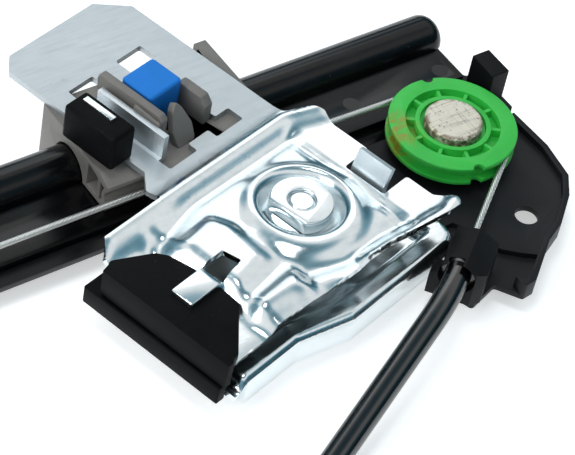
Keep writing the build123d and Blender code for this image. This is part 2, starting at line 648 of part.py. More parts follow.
with BuildPart() as slider_body:
    with BuildSketch(across_rail(slider_left)):
        outline(
            (slider_front, plate_under), (slider_front, flange_top - gauge - moving_gap - hook_thick),
            (web_front - moving_gap, flange_top - gauge - moving_gap - hook_thick),
            (web_front - moving_gap, flange_top - gauge - moving_gap),
            (rail_front - moving_gap, flange_top - gauge - moving_gap),
            (rail_front - moving_gap, flange_top + moving_gap),
            (web_front - moving_gap, flange_top + moving_gap),
            (web_front - moving_gap, web_top + moving_gap),
            (bead_y, web_top + moving_gap),
            (bead_y + bead_r + moving_gap, web_top + moving_gap),
            (bead_y + bead_r + moving_gap, skirt_foot - moving_gap),
            (bead_y + bead_r - gauge - moving_gap, skirt_foot - moving_gap),
            (bead_y + bead_r - gauge - moving_gap, skirt_foot - moving_gap - hook_thick),
            (slider_back, skirt_foot - moving_gap - hook_thick), (slider_back, plate_under),
        )
        with Locations((bead_y, web_top)):
            Circle(bead_r + moving_gap, mode=Mode.SUBTRACT)
        with Locations((cable_y, cable_z)):
            Circle(nipple_r + moving_gap / 2, mode=Mode.SUBTRACT)
    extrude(amount=slider_right - slider_left)
    # left of the nipples the upper cable runs in front of the slider
    with BuildSketch(level.offset(ground)):
        box_between((slider_left, nipple_block_left), (slider_front, cable_y + 2 * cable_r))
    extrude(amount=plate_under - ground, mode=Mode.SUBTRACT)
    # ribbed left end: recesses between the end walls
    with BuildSketch(across_rail(slider_left)):
        outline((24.6, 9.4), (24.6, 3.0), (20.5, 3.0), (20.5, 8.4))
        outline((19.4, 8.2), (19.4, 3.0), (9.5, 3.0), (9.5, 5.0))
        with Locations((cable_y, cable_z)):
            Circle(nipple_r + recess_wall, mode=Mode.SUBTRACT)
        outline((23.5, 12.0), (3.0, 12.0), (3.0, 5.4), (13.0, 7.2))
    extrude(amount=recess_depth, mode=Mode.SUBTRACT)
    with BuildSketch(across_rail(slider_right)):
        outline((slider_front - 1.0, 12.0), (slider_front - 1.0, 5.0), (12.0, 5.0), (30.0, 12.0))
    extrude(amount=-6.0, mode=Mode.SUBTRACT)
    # arms that stand up through the lift plate's window
    with BuildSketch(carriage.offset(plate_under)):
        box_between(left_arm_a, left_arm_b)
        box_between(right_arm_a, right_arm_b)
    extrude(amount=arm_top - plate_under)
    with BuildSketch(carriage.offset(arm_low)):
        box_between(left_arm_a, (left_arm_b[0], arm_step_b))
        box_between(right_arm_a, (right_arm_b[0], arm_step_b))
    extrude(amount=arm_top - arm_low, mode=Mode.SUBTRACT)
    with BuildSketch(carriage.offset(plate_under)):
        box_between(tongue_a, tongue_b)
    extrude(amount=arm_low - plate_under)
    # post that closes the slider behind the bead
    with BuildSketch(level.offset(web_top)):
        box_between((slider_right - post_thick, slider_right), post_y)
    extrude(amount=plate_under - web_top)
    # well of the lock wedge
    with BuildSketch(carriage.offset(plate_under)):
        box_between(
            (wedge_a[0] - moving_gap, wedge_a[1] + moving_gap),
            (wedge_b[0] - moving_gap, wedge_b[1] + moving_gap),
        )
    extrude(amount=-well_depth, mode=Mode.SUBTRACT)
save(slider_body.part, "slider_body")

with BuildPart() as cable_nipples:
    for end in (lower_nipple_x, upper_nipple_x):
        with BuildSketch(across_rail(end)):
            with Locations((cable_y, cable_z)):
                Circle(nipple_r)
                Circle(nipple_bore_r, mode=Mode.SUBTRACT)
        extrude(amount=nipple_length / 2, both=True)
save(cable_nipples.part, "cable_nipples")

with BuildPart() as lock_wedge:
    with BuildSketch(carriage.offset(plate_under - wedge_foot)):
        box_between(wedge_a, wedge_b)
    extrude(amount=wedge_top - plate_under + wedge_foot)
    fillet(lock_wedge.edges().filter_by(Axis.Z), 1.0)
    fillet(lock_wedge.faces().sort_by(Axis.Z)[-1].edges(), 0.8)
save(lock_wedge.part, "lock_wedge")

# ---- lift plate with the upper jaw pressed in one sheet --------------------------------
plate_outline = (
    (plate_left + 3.7, plate_back), (plate_right - 6.5, plate_back), (plate_right, plate_back - 6.5),
    (plate_right, bend_b - 1.0), (jaw_heel, jaw_back - 3.8), (jaw_heel, notch_b[1]),
    (notch_a, notch_b[1]), (notch_a, notch_b[0]), (jaw_heel, notch_b[0]), (jaw_heel, -20.0),
    (jaw_heel + 2.8, jaw_front + 0.4), (jaw_heel + 2.2, jaw_front - 2.0), (jaw_heel - 2.0, jaw_front - 2.8),
    (-10.0, jaw_front - 2.8), (-20.0, jaw_front - 0.5), (tongue_from, jaw_front),
    (tongue_from, jaw_back), (neck_left, jaw_back), (neck_left, 25.0), (plate_left, 29.0),
    (plate_left, plate_back - 3.7),
)
tongue_outline = (
    (tongue_from + 1.0, jaw_front + 1.5), (jaw_tip, jaw_front + 1.5), (jaw_tip, 16.9),
    (jaw_tip + 3.5, jaw_back - 0.4), (tongue_from + 1.0, jaw_back - 0.4),
)
window_outline = (
    (-13.9, 57.2), (-13.9, window_front), (-5.1, window_front), (-5.1, 28.6), (1.4, 28.6),
    (1.4, window_front), (10.1, window_front), (10.1, 30.4), (5.8, 30.4), (5.8, 52.0), (9.9, 52.0),
    (9.9, 57.1), (1.8, 57.1), (1.8, 51.0), (-5.7, 51.0), (-5.7, 57.2),
)
hook_window = ((tongue_from + gauge, -23.4), (-4.0, 2.0))

with BuildPart() as lift_plate:
    with BuildSketch(carriage.offset(plate_under)) as plate_blank:
        outline(*plate_outline)
        fillet(plate_blank.vertices(), 0.9)
    extrude(amount=gauge)
    with BuildSketch(carriage.offset(tongue_top - gauge)) as tongue_blank:
        outline(*tongue_outline)
        fillet(tongue_blank.vertices().group_by(SortBy.DISTANCE)[-1], 1.0)
    extrude(amount=gauge)
    with BuildSketch(carriage.offset(tongue_top - gauge)):
        box_between((tongue_from, tongue_from + gauge), (jaw_front + 1.5, jaw_back - 0.4))
    extrude(amount=plate_top - tongue_top + gauge)
    # dish that seats the nut, inside its raised ring
    with BuildSketch(carriage.offset(plate_top - dish_depth - gauge)):
        Circle(dish_bore_r + gauge)
    extrude(amount=dish_depth + gauge)
    with BuildSketch(carriage.offset(plate_top)):
        Circle(dish_r)
    extrude(amount=land_height, taper=30)
    with BuildSketch(carriage.offset(plate_top - dish_depth)):
        Circle(dish_bore_r)
    extrude(amount=dish_depth + land_height, mode=Mode.SUBTRACT)
    # raised flanges along the back, the heel and the front of the jaw
    with BuildSketch(carriage.offset(plate_top)):
        box_between((tongue_from, neck_left), (jaw_back - gauge, jaw_back))
        box_between((plate_right + 1.0, jaw_heel), (jaw_back - 5.3, jaw_back - 3.8))
        box_between((-20.0, -11.0), (jaw_front - 0.7, jaw_front + 0.8))
        box_between((-11.0, jaw_heel - 4.0), (jaw_front - 2.8, jaw_front - 1.3))
    extrude(amount=side_flange)
    # strip beside the heel, one step up
    with BuildSketch(carriage.offset(plate_top)):
        box_between((notch_a - 2.0, notch_a), (-19.0, 12.0))
    extrude(amount=0.6, taper=20)
    with BuildSketch(carriage.offset(plate_under)):
        outline(*window_outline)
        box_between(*hook_window)
    extrude(amount=2 * gauge + land_height, mode=Mode.SUBTRACT)
    # hook bent out of the window, over the glass pad
    with BuildSketch(carriage.offset(plate_under)):
        box_between((hook_window[0][0] - gauge, hook_window[0][0]), hook_window[1])
    extrude(amount=gauge + hook_lift)
    with BuildSketch(carriage.offset(plate_top + hook_lift - gauge)):
        box_between((hook_window[0][0] - hook_length, hook_window[0][0]), hook_window[1])
    extrude(amount=gauge)
    # tabs bent up beside the window, and for the stop buffer
    with BuildSketch(carriage.offset(plate_under)):
        box_between((tab_a, tab_a + gauge), tab_b)
    extrude(amount=gauge + tab_height)
    with BuildSketch(carriage.offset(plate_under)):
        box_between((buffer_tab_a, buffer_tab_a + gauge), buffer_tab_b)
        box_between((buffer_tab_a, plate_left + 1.0), (buffer_tab_b[0], buffer_tab_b[1]))
    extrude(amount=gauge)
    with BuildSketch(carriage.offset(plate_top)):
        box_between((buffer_tab_a, buffer_tab_a + gauge), buffer_tab_b)
    extrude(amount=buffer_height)
    with BuildSketch(carriage.offset(plate_top - dish_depth - gauge)):
        Circle(bolt_r + hole_slack)
    extrude(amount=dish_depth + gauge, mode=Mode.SUBTRACT)
save(lift_plate.part, "lift_plate")

with BuildPart() as jaw_nut:
    with BuildSketch(carriage.offset(plate_top - dish_depth)):
        Circle(nut_r)
        with Locations((-nut_flat, 0)):
            Rectangle(2 * nut_r, 2 * nut_r, align=(Align.MAX, Align.CENTER), mode=Mode.SUBTRACT)
        Circle(bolt_r + journal_gap, mode=Mode.SUBTRACT)
    extrude(amount=nut_thick)
    chamfer(jaw_nut.faces().sort_by(Axis.Z)[-1].edges(), 0.3)
save(jaw_nut.part, "jaw_nut")

with BuildPart() as stop_buffer:
    with BuildSketch(carriage.offset(plate_top)):
        box_between(buffer_a, buffer_b)
    extrude(amount=buffer_height)
    fillet(stop_buffer.edges().filter_by(Axis.Z), 0.5)
    with BuildSketch(carriage.offset(plate_top)):
        box_between((buffer_tab_a, buffer_tab_a + gauge), buffer_tab_b)
    extrude(amount=buffer_height, mode=Mode.SUBTRACT)
save(stop_buffer.part, "stop_buffer")

# ---- upper glass pad, wrapped round the tongue ------------------------------------------
pad_top = tongue_top + pad_wall
pad_bottom = jaw_floor + gauge + lower_pad_thick + pad_slit

with BuildPart() as upper_glass_pad:
    with BuildSketch(carriage.offset(tongue_top)):
        outline(
            (-45.8, pad_back), (-42.3, 16.3), (-34.0, 11.7), (-32.4, 9.4), (tongue_from - 0.1, 2.0),
            (tongue_from - 0.1, -4.0), (-31.4, -9.8), (-41.8, -18.8), (-45.8, pad_front),
        )
    extrude(amount=pad_wall)
    with BuildSketch(carriage.offset(pad_bottom)):
        box_between((jaw_tip - pad_wall, jaw_tip), (pad_front, pad_back))
    extrude(amount=pad_top - pad_bottom)
    with BuildSketch(carriage.offset(pad_bottom)):
        box_between((jaw_tip, jaw_tip + pad_depth), (leaf_front, pad_back))
    extrude(amount=tongue_top - gauge - pad_bottom)
save(upper_glass_pad.part, "upper_glass_pad")

# ---- lower jaw and its pad ---------------------------------------------------------------
jaw_outline = (
    (jaw_tip, jaw_front), (-24.0, jaw_front), (-10.0, -25.5), (22.5, -25.5), (26.5, -21.5),
    (26.5, -15.0), (22.5, -11.0), (22.5, 5.0), (0.0, 11.0), (-20.0, 16.6),
    (jaw_tip + 4.0, lower_pad_back), (jaw_tip, lower_pad_back),
)
rim_start = jaw_tip + rim_from
rim_outline = (
    (rim_start, jaw_front), (-24.0, jaw_front), (-10.0, -25.5), (22.5, -25.5), (26.5, -21.5),
    (26.5, -15.0), (22.5, -15.0), (18.0, -18.6), (-10.0, -18.6), (-22.0, -16.2), (rim_start, -16.2),
)

with BuildSketch() as jaw_face:
    outline(*jaw_outline)
    fillet(jaw_face.vertices().sort_by(Axis.X)[-2:], 3.0)
with BuildSketch() as jaw_rim:
    outline(*rim_outline)
    add(jaw_face.sketch, mode=Mode.INTERSECT)

fulcrum_near, fulcrum_far = hinge_a - gauge / 2, hinge_a + gauge / 2
fulcrum_face = Plane(
    carriage.from_local_coords((0, fulcrum_b[1], 0)), x_dir=carriage.x_dir, z_dir=-carriage.y_dir
)

with BuildPart() as lower_jaw:
    with BuildSketch(carriage.offset(jaw_floor)):
        add(jaw_face.sketch)
    extrude(amount=gauge)
    with BuildSketch(carriage.offset(jaw_floor)):
        add(jaw_rim.sketch)
    extrude(amount=jaw_rim_top - jaw_floor)
    with BuildSketch(carriage.offset(jaw_floor)):
        offset(jaw_rim.sketch, amount=-gauge)
    extrude(amount=jaw_rim_top - jaw_floor - gauge, mode=Mode.SUBTRACT)
    with BuildSketch(carriage.offset(jaw_floor)):
        add(jaw_rim.sketch)
        offset(jaw_rim.sketch, amount=-gauge, mode=Mode.SUBTRACT)
        with Locations((jaw_tip, jaw_front + 3.8)):
            Rectangle(flange_end - jaw_tip, 30.0, align=(Align.MIN, Align.MAX), mode=Mode.INTERSECT)
    extrude(amount=jaw_flange_foot - jaw_floor)
    # fulcrum tab, up through the notch of the upper jaw
    with BuildSketch(fulcrum_face):
        outline(
            (fulcrum_near, jaw_floor), (fulcrum_far, jaw_floor), (fulcrum_far, hinge_z),
            (fulcrum_far + fulcrum_lean, fulcrum_top), (fulcrum_near + fulcrum_lean, fulcrum_top),
            (fulcrum_near, hinge_z),
        )
    extrude(amount=fulcrum_b[1] - fulcrum_b[0])
    with BuildSketch(carriage.offset(jaw_floor)):
        Circle(jaw_hole_r)
    extrude(amount=gauge, mode=Mode.SUBTRACT)
save(lower_jaw.part, "lower_jaw")

with BuildPart() as lower_glass_pad:
    with BuildSketch(carriage.offset(jaw_floor + gauge)):
        box_between((jaw_tip, jaw_tip + pad_depth), (lower_pad_front + 3.0, lower_pad_back))
    extrude(amount=lower_pad_thick)
    with BuildSketch(carriage.offset(jaw_floor - lip_wall)):
        box_between((jaw_tip - pad_wall - lip_proud, jaw_tip), (lower_pad_front, lower_pad_back))
    extrude(amount=lip_wall + gauge + lower_pad_thick)
    with BuildSketch(carriage.offset(jaw_floor - lip_wall)):
        box_between((jaw_tip, jaw_tip + 6.0), (lower_pad_front + 3.0, lower_pad_back))
    extrude(amount=lip_wall)
save(lower_glass_pad.part, "lower_glass_pad")

# ---- clamp bolt and washer ----------------------------------------------------------------
washer_top = jaw_floor - tilt_room
head_top = washer_top - screw_washer_thick

with BuildPart() as clamp_washer:
    with BuildSketch(carriage.offset(head_top)):
        Circle(screw_washer_r)
        Circle(bolt_r + journal_gap, mode=Mode.SUBTRACT)
    extrude(amount=screw_washer_thick)
save(clamp_washer.part, "clamp_washer")

with BuildPart() as clamp_bolt:
    with BuildSketch(carriage.offset(head_top - seat_gap)):
        RegularPolygon(bolt_head_r, 6)
    extrude(amount=-bolt_head_thick)
    with BuildSketch(carriage.offset(head_top - seat_gap)):
        Circle(bolt_r)
    extrude(amount=bolt_end - head_top + seat_gap)
    chamfer(clamp_bolt.faces().sort_by(Axis.Z)[-1].edges(), 0.6)
save(clamp_bolt.part, "clamp_bolt")

# ---- stop bracket at the top of the rail ----------------------------------------------------
stop_x = upper_x + stop_from
strip_z = plate_top + stop_lift
stop_face = Plane(
    carriage.from_local_coords((buffer_a[0], sum(buffer_b) / 2, strip_z)) - Vector(glass_travel, 0, 0),
    x_dir=-carriage.y_dir,
    z_dir=-carriage.x_dir,
)
strip_end = level.to_local_coords(stop_face.origin).X - gauge

with BuildPart() as upper_stop:
    with BuildSketch(stop_face):
        Rectangle(buffer_b[1] - buffer_b[0] - gauge, stop_height, align=(Align.CENTER, Align.MIN))
    extrude(amount=gauge)
    with BuildSketch(level.offset(strip_z)):
        box_between((stop_x - gauge, strip_end), stop_strip_y)
    extrude(amount=gauge)
    with BuildSketch(level.offset(web_top)):
        box_between((stop_x - stop_foot, stop_x), stop_foot_y)
    extrude(amount=gauge)
    with BuildSketch(level.offset(web_top)):
        box_between((stop_x - gauge, stop_x), stop_foot_y)
    extrude(amount=strip_z + gauge - web_top)
save(upper_stop.part, "upper_stop")
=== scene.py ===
import json
import math

import bmesh
import bpy
from mathutils import Matrix, Vector


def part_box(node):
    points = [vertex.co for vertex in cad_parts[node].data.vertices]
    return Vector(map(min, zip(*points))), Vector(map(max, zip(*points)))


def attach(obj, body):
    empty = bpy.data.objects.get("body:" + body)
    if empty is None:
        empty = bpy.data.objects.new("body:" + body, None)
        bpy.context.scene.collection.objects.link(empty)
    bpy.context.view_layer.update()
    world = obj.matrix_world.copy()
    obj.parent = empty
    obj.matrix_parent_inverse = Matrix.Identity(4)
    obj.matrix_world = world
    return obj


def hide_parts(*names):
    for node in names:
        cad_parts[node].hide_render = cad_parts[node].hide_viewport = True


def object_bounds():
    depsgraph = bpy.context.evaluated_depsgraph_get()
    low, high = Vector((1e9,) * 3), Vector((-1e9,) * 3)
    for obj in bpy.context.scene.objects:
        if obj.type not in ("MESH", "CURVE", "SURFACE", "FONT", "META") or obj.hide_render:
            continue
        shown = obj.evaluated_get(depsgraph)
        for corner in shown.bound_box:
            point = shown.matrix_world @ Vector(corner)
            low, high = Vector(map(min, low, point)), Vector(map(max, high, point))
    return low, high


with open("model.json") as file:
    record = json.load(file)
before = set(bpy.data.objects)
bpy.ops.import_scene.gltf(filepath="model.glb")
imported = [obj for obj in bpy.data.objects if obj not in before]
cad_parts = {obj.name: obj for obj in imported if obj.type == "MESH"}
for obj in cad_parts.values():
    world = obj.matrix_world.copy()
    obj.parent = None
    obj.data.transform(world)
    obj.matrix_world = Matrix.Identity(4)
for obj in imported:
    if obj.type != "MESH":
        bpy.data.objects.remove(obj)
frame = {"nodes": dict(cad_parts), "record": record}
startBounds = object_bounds()
bpy.ops.object.select_all(action="DESELECT")
mm = 0.001  # the frame is in metres, sizes and places below are in millimetres
print("frame loaded:", len(frame["nodes"]), "nodes")

# the clamp's own axes start at its bolt: a runs along it, b across it toward the plate's end
clamp = {"turn": 14.9, "along": -49.0, "across": -8.4, "bendBlend": (21.2, 22.8)}


def boxMiddle(nodeName):
    low, high = (Vector(corner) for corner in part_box(nodeName))
    return (low + high) / 2


clampTurn = math.radians(clamp["turn"])
acrossClamp = (-math.sin(clampTurn), math.cos(clampTurn), 0)
wheelMiddle = boxMiddle("lower_pulley")
pulleyAxis = Vector((wheelMiddle.x, wheelMiddle.y, 0))
clampShift = Vector((clamp["along"] * mm, clamp["across"] * mm, 0))
clampPlace = (
    Matrix.Translation(pulleyAxis + clampShift)
    @ Matrix.Rotation(clampTurn, 4, "Z")
    @ Matrix.Scale(mm, 4)
)


def plug(tree, slot, value):
    if isinstance(value, Flow):
        tree.links.new(value.socket, slot)
    else:
        slot.default_value = value


# a value on its way through a material's nodes, which can be added, multiplied and so on
class Flow:
    def __init__(self, tree, socket):
        self.tree = tree
        self.socket = socket

    def calc(self, operation, first, second):
        node = self.tree.nodes.new("ShaderNodeMath")
        node.operation = operation
        plug(self.tree, node.inputs[0], first)
        plug(self.tree, node.inputs[1], second)
        return Flow(self.tree, node.outputs[0])

    def __add__(self, other):
        return self.calc("ADD", self, other)

    def __radd__(self, other):
        return self.calc("ADD", other, self)

    def __sub__(self, other):
        return self.calc("SUBTRACT", self, other)

    def __rsub__(self, other):
        return self.calc("SUBTRACT", other, self)

    def __mul__(self, other):
        return self.calc("MULTIPLY", self, other)

    def __rmul__(self, other):
        return self.calc("MULTIPLY", other, self)

    def smooth(self, low, high):
        node = self.tree.nodes.new("ShaderNodeMapRange")
        node.interpolation_type = "SMOOTHSTEP"
        plug(self.tree, node.inputs["Value"], self)
        node.inputs["From Min"].default_value = low
        node.inputs["From Max"].default_value = high
        return Flow(self.tree, node.outputs[0])


class Finish:
    def __init__(self, name, color, roughness, metallic=0.0, fixed=None):
        self.material = bpy.data.materials.new(name)
        self.material.use_nodes = True
        self.tree = self.material.node_tree
        self.shader = self.tree.nodes["Principled BSDF"]
        self.shader.inputs["Base Color"].default_value = (*color, 1)
        self.shader.inputs["Roughness"].default_value = roughness
        self.shader.inputs["Metallic"].default_value = metallic
        for slot, value in (fixed or {}).items():
            self.shader.inputs[slot].default_value = value
        self.place = Flow(self.tree, self.tree.nodes.new("ShaderNodeTexCoord").outputs["Object"])

    def node(self, kind, settings=None, sockets=None, output=0):
        node = self.tree.nodes.new(kind)
        for name, value in (settings or {}).items():
            setattr(node, name, value)
        for name, value in (sockets or {}).items():
            plug(self.tree, node.inputs[name], value)
        return Flow(self.tree, node.outputs[output])

    def noise(self, scale, detail=3.0, rough=0.5, warp=0.0, stretch=None, turn=0.0, span=None):
        where = self.place
        if stretch:
            mapping = {"Vector": self.place, "Scale": stretch, "Rotation": (0, 0, turn)}
            where = self.node("ShaderNodeMapping", None, mapping)
        sockets = {
            "Vector": where, "Scale": scale, "Detail": detail, "Roughness": rough, "Distortion": warp,
        }
        pattern = self.node("ShaderNodeTexNoise", None, sockets)
        return pattern.smooth(*span) if span else pattern

    def measure(self, operation, other):
        return self.node("ShaderNodeVectorMath", {"operation": operation}, {0: self.place, 1: other}, 1)

    def blend(self, factor, first, second):
        node = self.tree.nodes.new("ShaderNodeMix")
        node.data_type = "RGBA"
        plug(self.tree, node.inputs[0], factor)
        for slot, value in ((node.inputs[6], first), (node.inputs[7], second)):
            plug(self.tree, slot, value if isinstance(value, Flow) else (*value, 1))
        return Flow(self.tree, node.outputs[2])

    def feed(self, slot, value):
        plug(self.tree, self.shader.inputs[slot], value)

    def bump(self, height, depth, strength):
        sockets = {"Height": height, "Distance": depth * mm, "Strength": strength}
        self.feed("Normal", self.node("ShaderNodeBump", None, sockets))


def tinted(color, factor, lift=0.0):
    return tuple(part * factor + lift for part in color)


# noise patterns are given by their scale per metre, and span is the part of their range that counts
paint = {
    "cloud": {"scale": 60, "detail": 5, "rough": 0.6, "span": (0.45, 0.75)}, "cloudShare": 0.3,
    "streak": {
        "scale": 16, "detail": 4, "rough": 0.7, "warp": 0.5, "stretch": (6, 110, 110), "turn": 0.12,
        "span": (0.6, 0.7),
    },
    "streakShare": 0.4, "fleck": {"scale": 1000, "detail": 2, "span": (0.68, 0.75)}, "fleckShare": 0.4,
    "markTone": 2.2, "markLift": 0.03, "markRoughness": 0.3, "haze": 260, "hazeShare": 0.08,
    "grain": 800, "depth": 0.03, "strength": 0.4,
}


def paintedSteel(name, color, roughness, wear, gloss):
    finish = Finish(name, color, roughness, 0.0, {"Specular IOR Level": gloss})
    marks = finish.noise(**paint["cloud"]) * paint["cloudShare"]
    marks += finish.noise(**paint["streak"]) * paint["streakShare"]
    marks += finish.noise(**paint["fleck"]) * paint["fleckShare"]
    marks *= wear
    lighter = tinted(color, paint["markTone"], paint["markLift"])
    finish.feed("Base Color", finish.blend(marks, color, lighter))
    haze = finish.noise(paint["haze"]) * paint["hazeShare"]
    finish.feed("Roughness", roughness + marks * paint["markRoughness"] + haze)
    finish.bump(finish.noise(paint["grain"]), paint["depth"], paint["strength"])
    return finish.material


zinc = {
    "spangle": {"scale": 300, "detail": 4, "rough": 0.65}, "spangleSpan": (0.3, 0.75),
    "patch": {"scale": 40, "span": (0.35, 0.7)}, "patchShare": 0.5, "dullTone": 0.8,
    "grain": {"scale": 120, "rough": 0.6, "stretch": (1, 12, 12), "turn": -0.26},
    "grainSpan": (0.4, 0.8), "unevenness": 0.08, "grainHeight": 0.6, "depth": 0.04, "strength": 0.3,
}
# past the bend line the plate is coloured darker and made rougher, with scuffs
flatZone = {
    "color": (0.55, 0.59, 0.61), "roughness": 0.42, "markTone": 0.86,
    "cloud": {"scale": 30, "detail": 4, "rough": 0.6, "span": (0.3, 0.7)}, "cloudShare": 0.5,
    "scuff": {
        "scale": 70, "detail": 5, "rough": 0.75, "warp": 1.0, "stretch": (3, 1, 1), "turn": 0.6,
        "span": (0.63, 0.7),
    },
    "scuffShare": 0.5,
}


def zincPlate(name, color, roughness, mottle, withFlatZone=False):
    finish = Finish(name, color, roughness, 1.0)
    spangle = finish.noise(**zinc["spangle"])
    patch = finish.noise(**zinc["patch"])
    marks = spangle.smooth(*zinc["spangleSpan"]) * mottle + patch * mottle * zinc["patchShare"]
    base = finish.blend(marks, color, tinted(color, zinc["dullTone"]))
    grain = finish.noise(**zinc["grain"])
    rough = roughness + spangle * zinc["unevenness"]
    rough += grain.smooth(*zinc["grainSpan"]) * zinc["unevenness"]
    if withFlatZone:
        bendLine = (wheelMiddle + clampShift).dot(Vector(acrossClamp))
        low, high = (bendLine + edge * mm for edge in clamp["bendBlend"])
        zone = finish.measure("DOT_PRODUCT", acrossClamp).smooth(low, high)
        cloud = finish.noise(**flatZone["cloud"]) * flatZone["cloudShare"]
        scuff = finish.noise(**flatZone["scuff"]) * flatZone["scuffShare"]
        worn = tinted(flatZone["color"], flatZone["markTone"])
        base = finish.blend(zone, base, finish.blend(cloud + scuff, flatZone["color"], worn))
        rough += zone * (flatZone["roughness"] - roughness)
    finish.feed("Base Color", base)
    finish.feed("Roughness", rough)
    finish.bump(spangle + grain * zinc["grainHeight"], zinc["depth"], zinc["strength"])
    return finish.material


plastic = {
    "cloud": {"scale": 120, "detail": 4, "rough": 0.6, "span": (0.3, 0.75)},
    "haze": 400, "hazeShare": 0.15, "hazeShift": 0.05, "grain": {"scale": 1500, "rough": 0.6},
    "strength": 0.6,
}


def mouldedPlastic(name, color, roughness, gloss=0.4, shade=0.8, grainDepth=0.03):
    finish = Finish(name, color, roughness, 0.0, {"Specular IOR Level": gloss})
    cloud = finish.noise(**plastic["cloud"])
    finish.feed("Base Color", finish.blend(cloud, color, tinted(color, shade)))
    haze = finish.noise(plastic["haze"]) * plastic["hazeShare"]
    finish.feed("Roughness", roughness + haze - plastic["hazeShift"])
    finish.bump(finish.noise(**plastic["grain"]), grainDepth, plastic["strength"])
    return finish.material


rubber = {
    "gloss": 0.07, "roughness": 0.46,
    "cloud": {"scale": 90, "detail": 4, "rough": 0.6, "span": (0.4, 0.75)}, "cloudShare": 0.3,
    "fleck": {"scale": 1100, "detail": 2, "span": (0.69, 0.74)}, "fleckShare": 0.7,
    "dustTone": 1.9, "dustLift": 0.01, "cloudRoughness": 0.16,
    "grain": {"scale": 1300, "detail": 4, "rough": 0.65}, "depth": 0.04, "strength": 0.6,
}


def gummedRubber(name, color):
    finish = Finish(name, color, rubber["roughness"], 0.0, {"Specular IOR Level": rubber["gloss"]})
    cloud = finish.noise(**rubber["cloud"])
    dust = cloud * rubber["cloudShare"] + finish.noise(**rubber["fleck"]) * rubber["fleckShare"]
    dusty = tinted(color, rubber["dustTone"], rubber["dustLift"])
    finish.feed("Base Color", finish.blend(dust, color, dusty))
    finish.feed("Roughness", rubber["roughness"] + cloud * rubber["cloudRoughness"])
    finish.bump(finish.noise(**rubber["grain"]), rubber["depth"], rubber["strength"])
    return finish.material


# the wheel has old grease on the side toward the slider
wheel = {
    "fixed": {"Specular IOR Level": 0.4, "Subsurface Weight": 0.1, "Subsurface Scale": 0.002},
    "roughness": 0.32, "shade": 0.86,
    "cloud": {"scale": 120, "detail": 4, "rough": 0.6, "span": (0.3, 0.75)},
    "grease": (0.32, 0.22, 0.02), "greaseAt": (-13.5, 4.5, 0), "greaseReach": (9, 3),
    "smear": {"scale": 260, "detail": 5, "rough": 0.7, "span": (0.42, 0.62)}, "greaseShare": 0.85,
    "greaseGloss": 0.15,
    "haze": 400, "hazeShare": 0.15, "grain": {"scale": 1500, "rough": 0.6}, "greaseHeight": 4,
    "depth": 0.03, "strength": 0.6,
}


def greasedWheel(name, color):
    finish = Finish(name, color, wheel["roughness"], 0.0, wheel["fixed"])
    spot = wheelMiddle + Vector(wheel["greaseAt"]) * mm
    far, close = (reach * mm for reach in wheel["greaseReach"])
    smear = finish.measure("DISTANCE", tuple(spot)).smooth(far, close) * finish.noise(**wheel["smear"])
    plain = finish.blend(finish.noise(**wheel["cloud"]), color, tinted(color, wheel["shade"]))
    finish.feed("Base Color", finish.blend(smear * wheel["greaseShare"], plain, wheel["grease"]))
    haze = finish.noise(wheel["haze"]) * wheel["hazeShare"]
    finish.feed("Roughness", wheel["roughness"] + haze - smear * wheel["greaseGloss"])
    height = finish.noise(**wheel["grain"]) + smear * wheel["greaseHeight"]
    finish.bump(height, wheel["depth"], wheel["strength"])
    return finish.material


rivet = {
    "color": (0.84, 0.78, 0.66), "rust": (0.16, 0.08, 0.03), "radius": 6.7, "rimFrom": 0.8,
    "wornTone": 0.34, "line": {"scale": 60, "detail": 5, "rough": 0.75, "warp": 0.8}, "lineShare": 0.5,
    "scratch": {"stretch": (1, 22, 1), "turn": 0.9}, "scratchSpan": (0.52, 0.66),
    "crossing": {"stretch": (20, 1, 1), "turn": 0.5}, "crossingSpan": (0.54, 0.68),
    "speck": {"scale": 900, "rough": 0.7, "span": (0.6, 0.68)}, "speckShare": 0.7,
    "stain": {"scale": 500, "detail": 4, "span": (0.4, 0.6)}, "stainShare": 0.8,
    "roughness": 0.38, "rimRoughness": 0.25, "scratchRoughness": 0.2, "metal": 0.85, "depth": 0.12,
    "strength": 0.7,
}


def scratchedRivet(name):
    finish = Finish(name, rivet["color"], rivet["roughness"], rivet["metal"])
    top = (wheelMiddle.x, wheelMiddle.y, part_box("lower_pulley_rivet")[1][2])
    radius = rivet["radius"] * mm
    rim = finish.measure("DISTANCE", top).smooth(radius * rivet["rimFrom"], radius)
    scratch = finish.noise(**rivet["line"], **rivet["scratch"])
    crossing = finish.noise(**rivet["line"], **rivet["crossing"])
    lines = scratch.smooth(*rivet["scratchSpan"]) * rivet["lineShare"]
    lines += crossing.smooth(*rivet["crossingSpan"]) * rivet["lineShare"]
    base = finish.blend(lines, rivet["color"], tinted(rivet["color"], rivet["wornTone"]))
    stain = rim * finish.noise(**rivet["stain"]) * rivet["stainShare"]
    stain += finish.noise(**rivet["speck"]) * rivet["speckShare"]
    finish.feed("Base Color", finish.blend(stain, base, rivet["rust"]))
    rough = rivet["roughness"] + rim * rivet["rimRoughness"] + scratch * rivet["scratchRoughness"]
    finish.feed("Roughness", rough)
    finish.bump(scratch + crossing, rivet["depth"], rivet["strength"])
    return finish.material


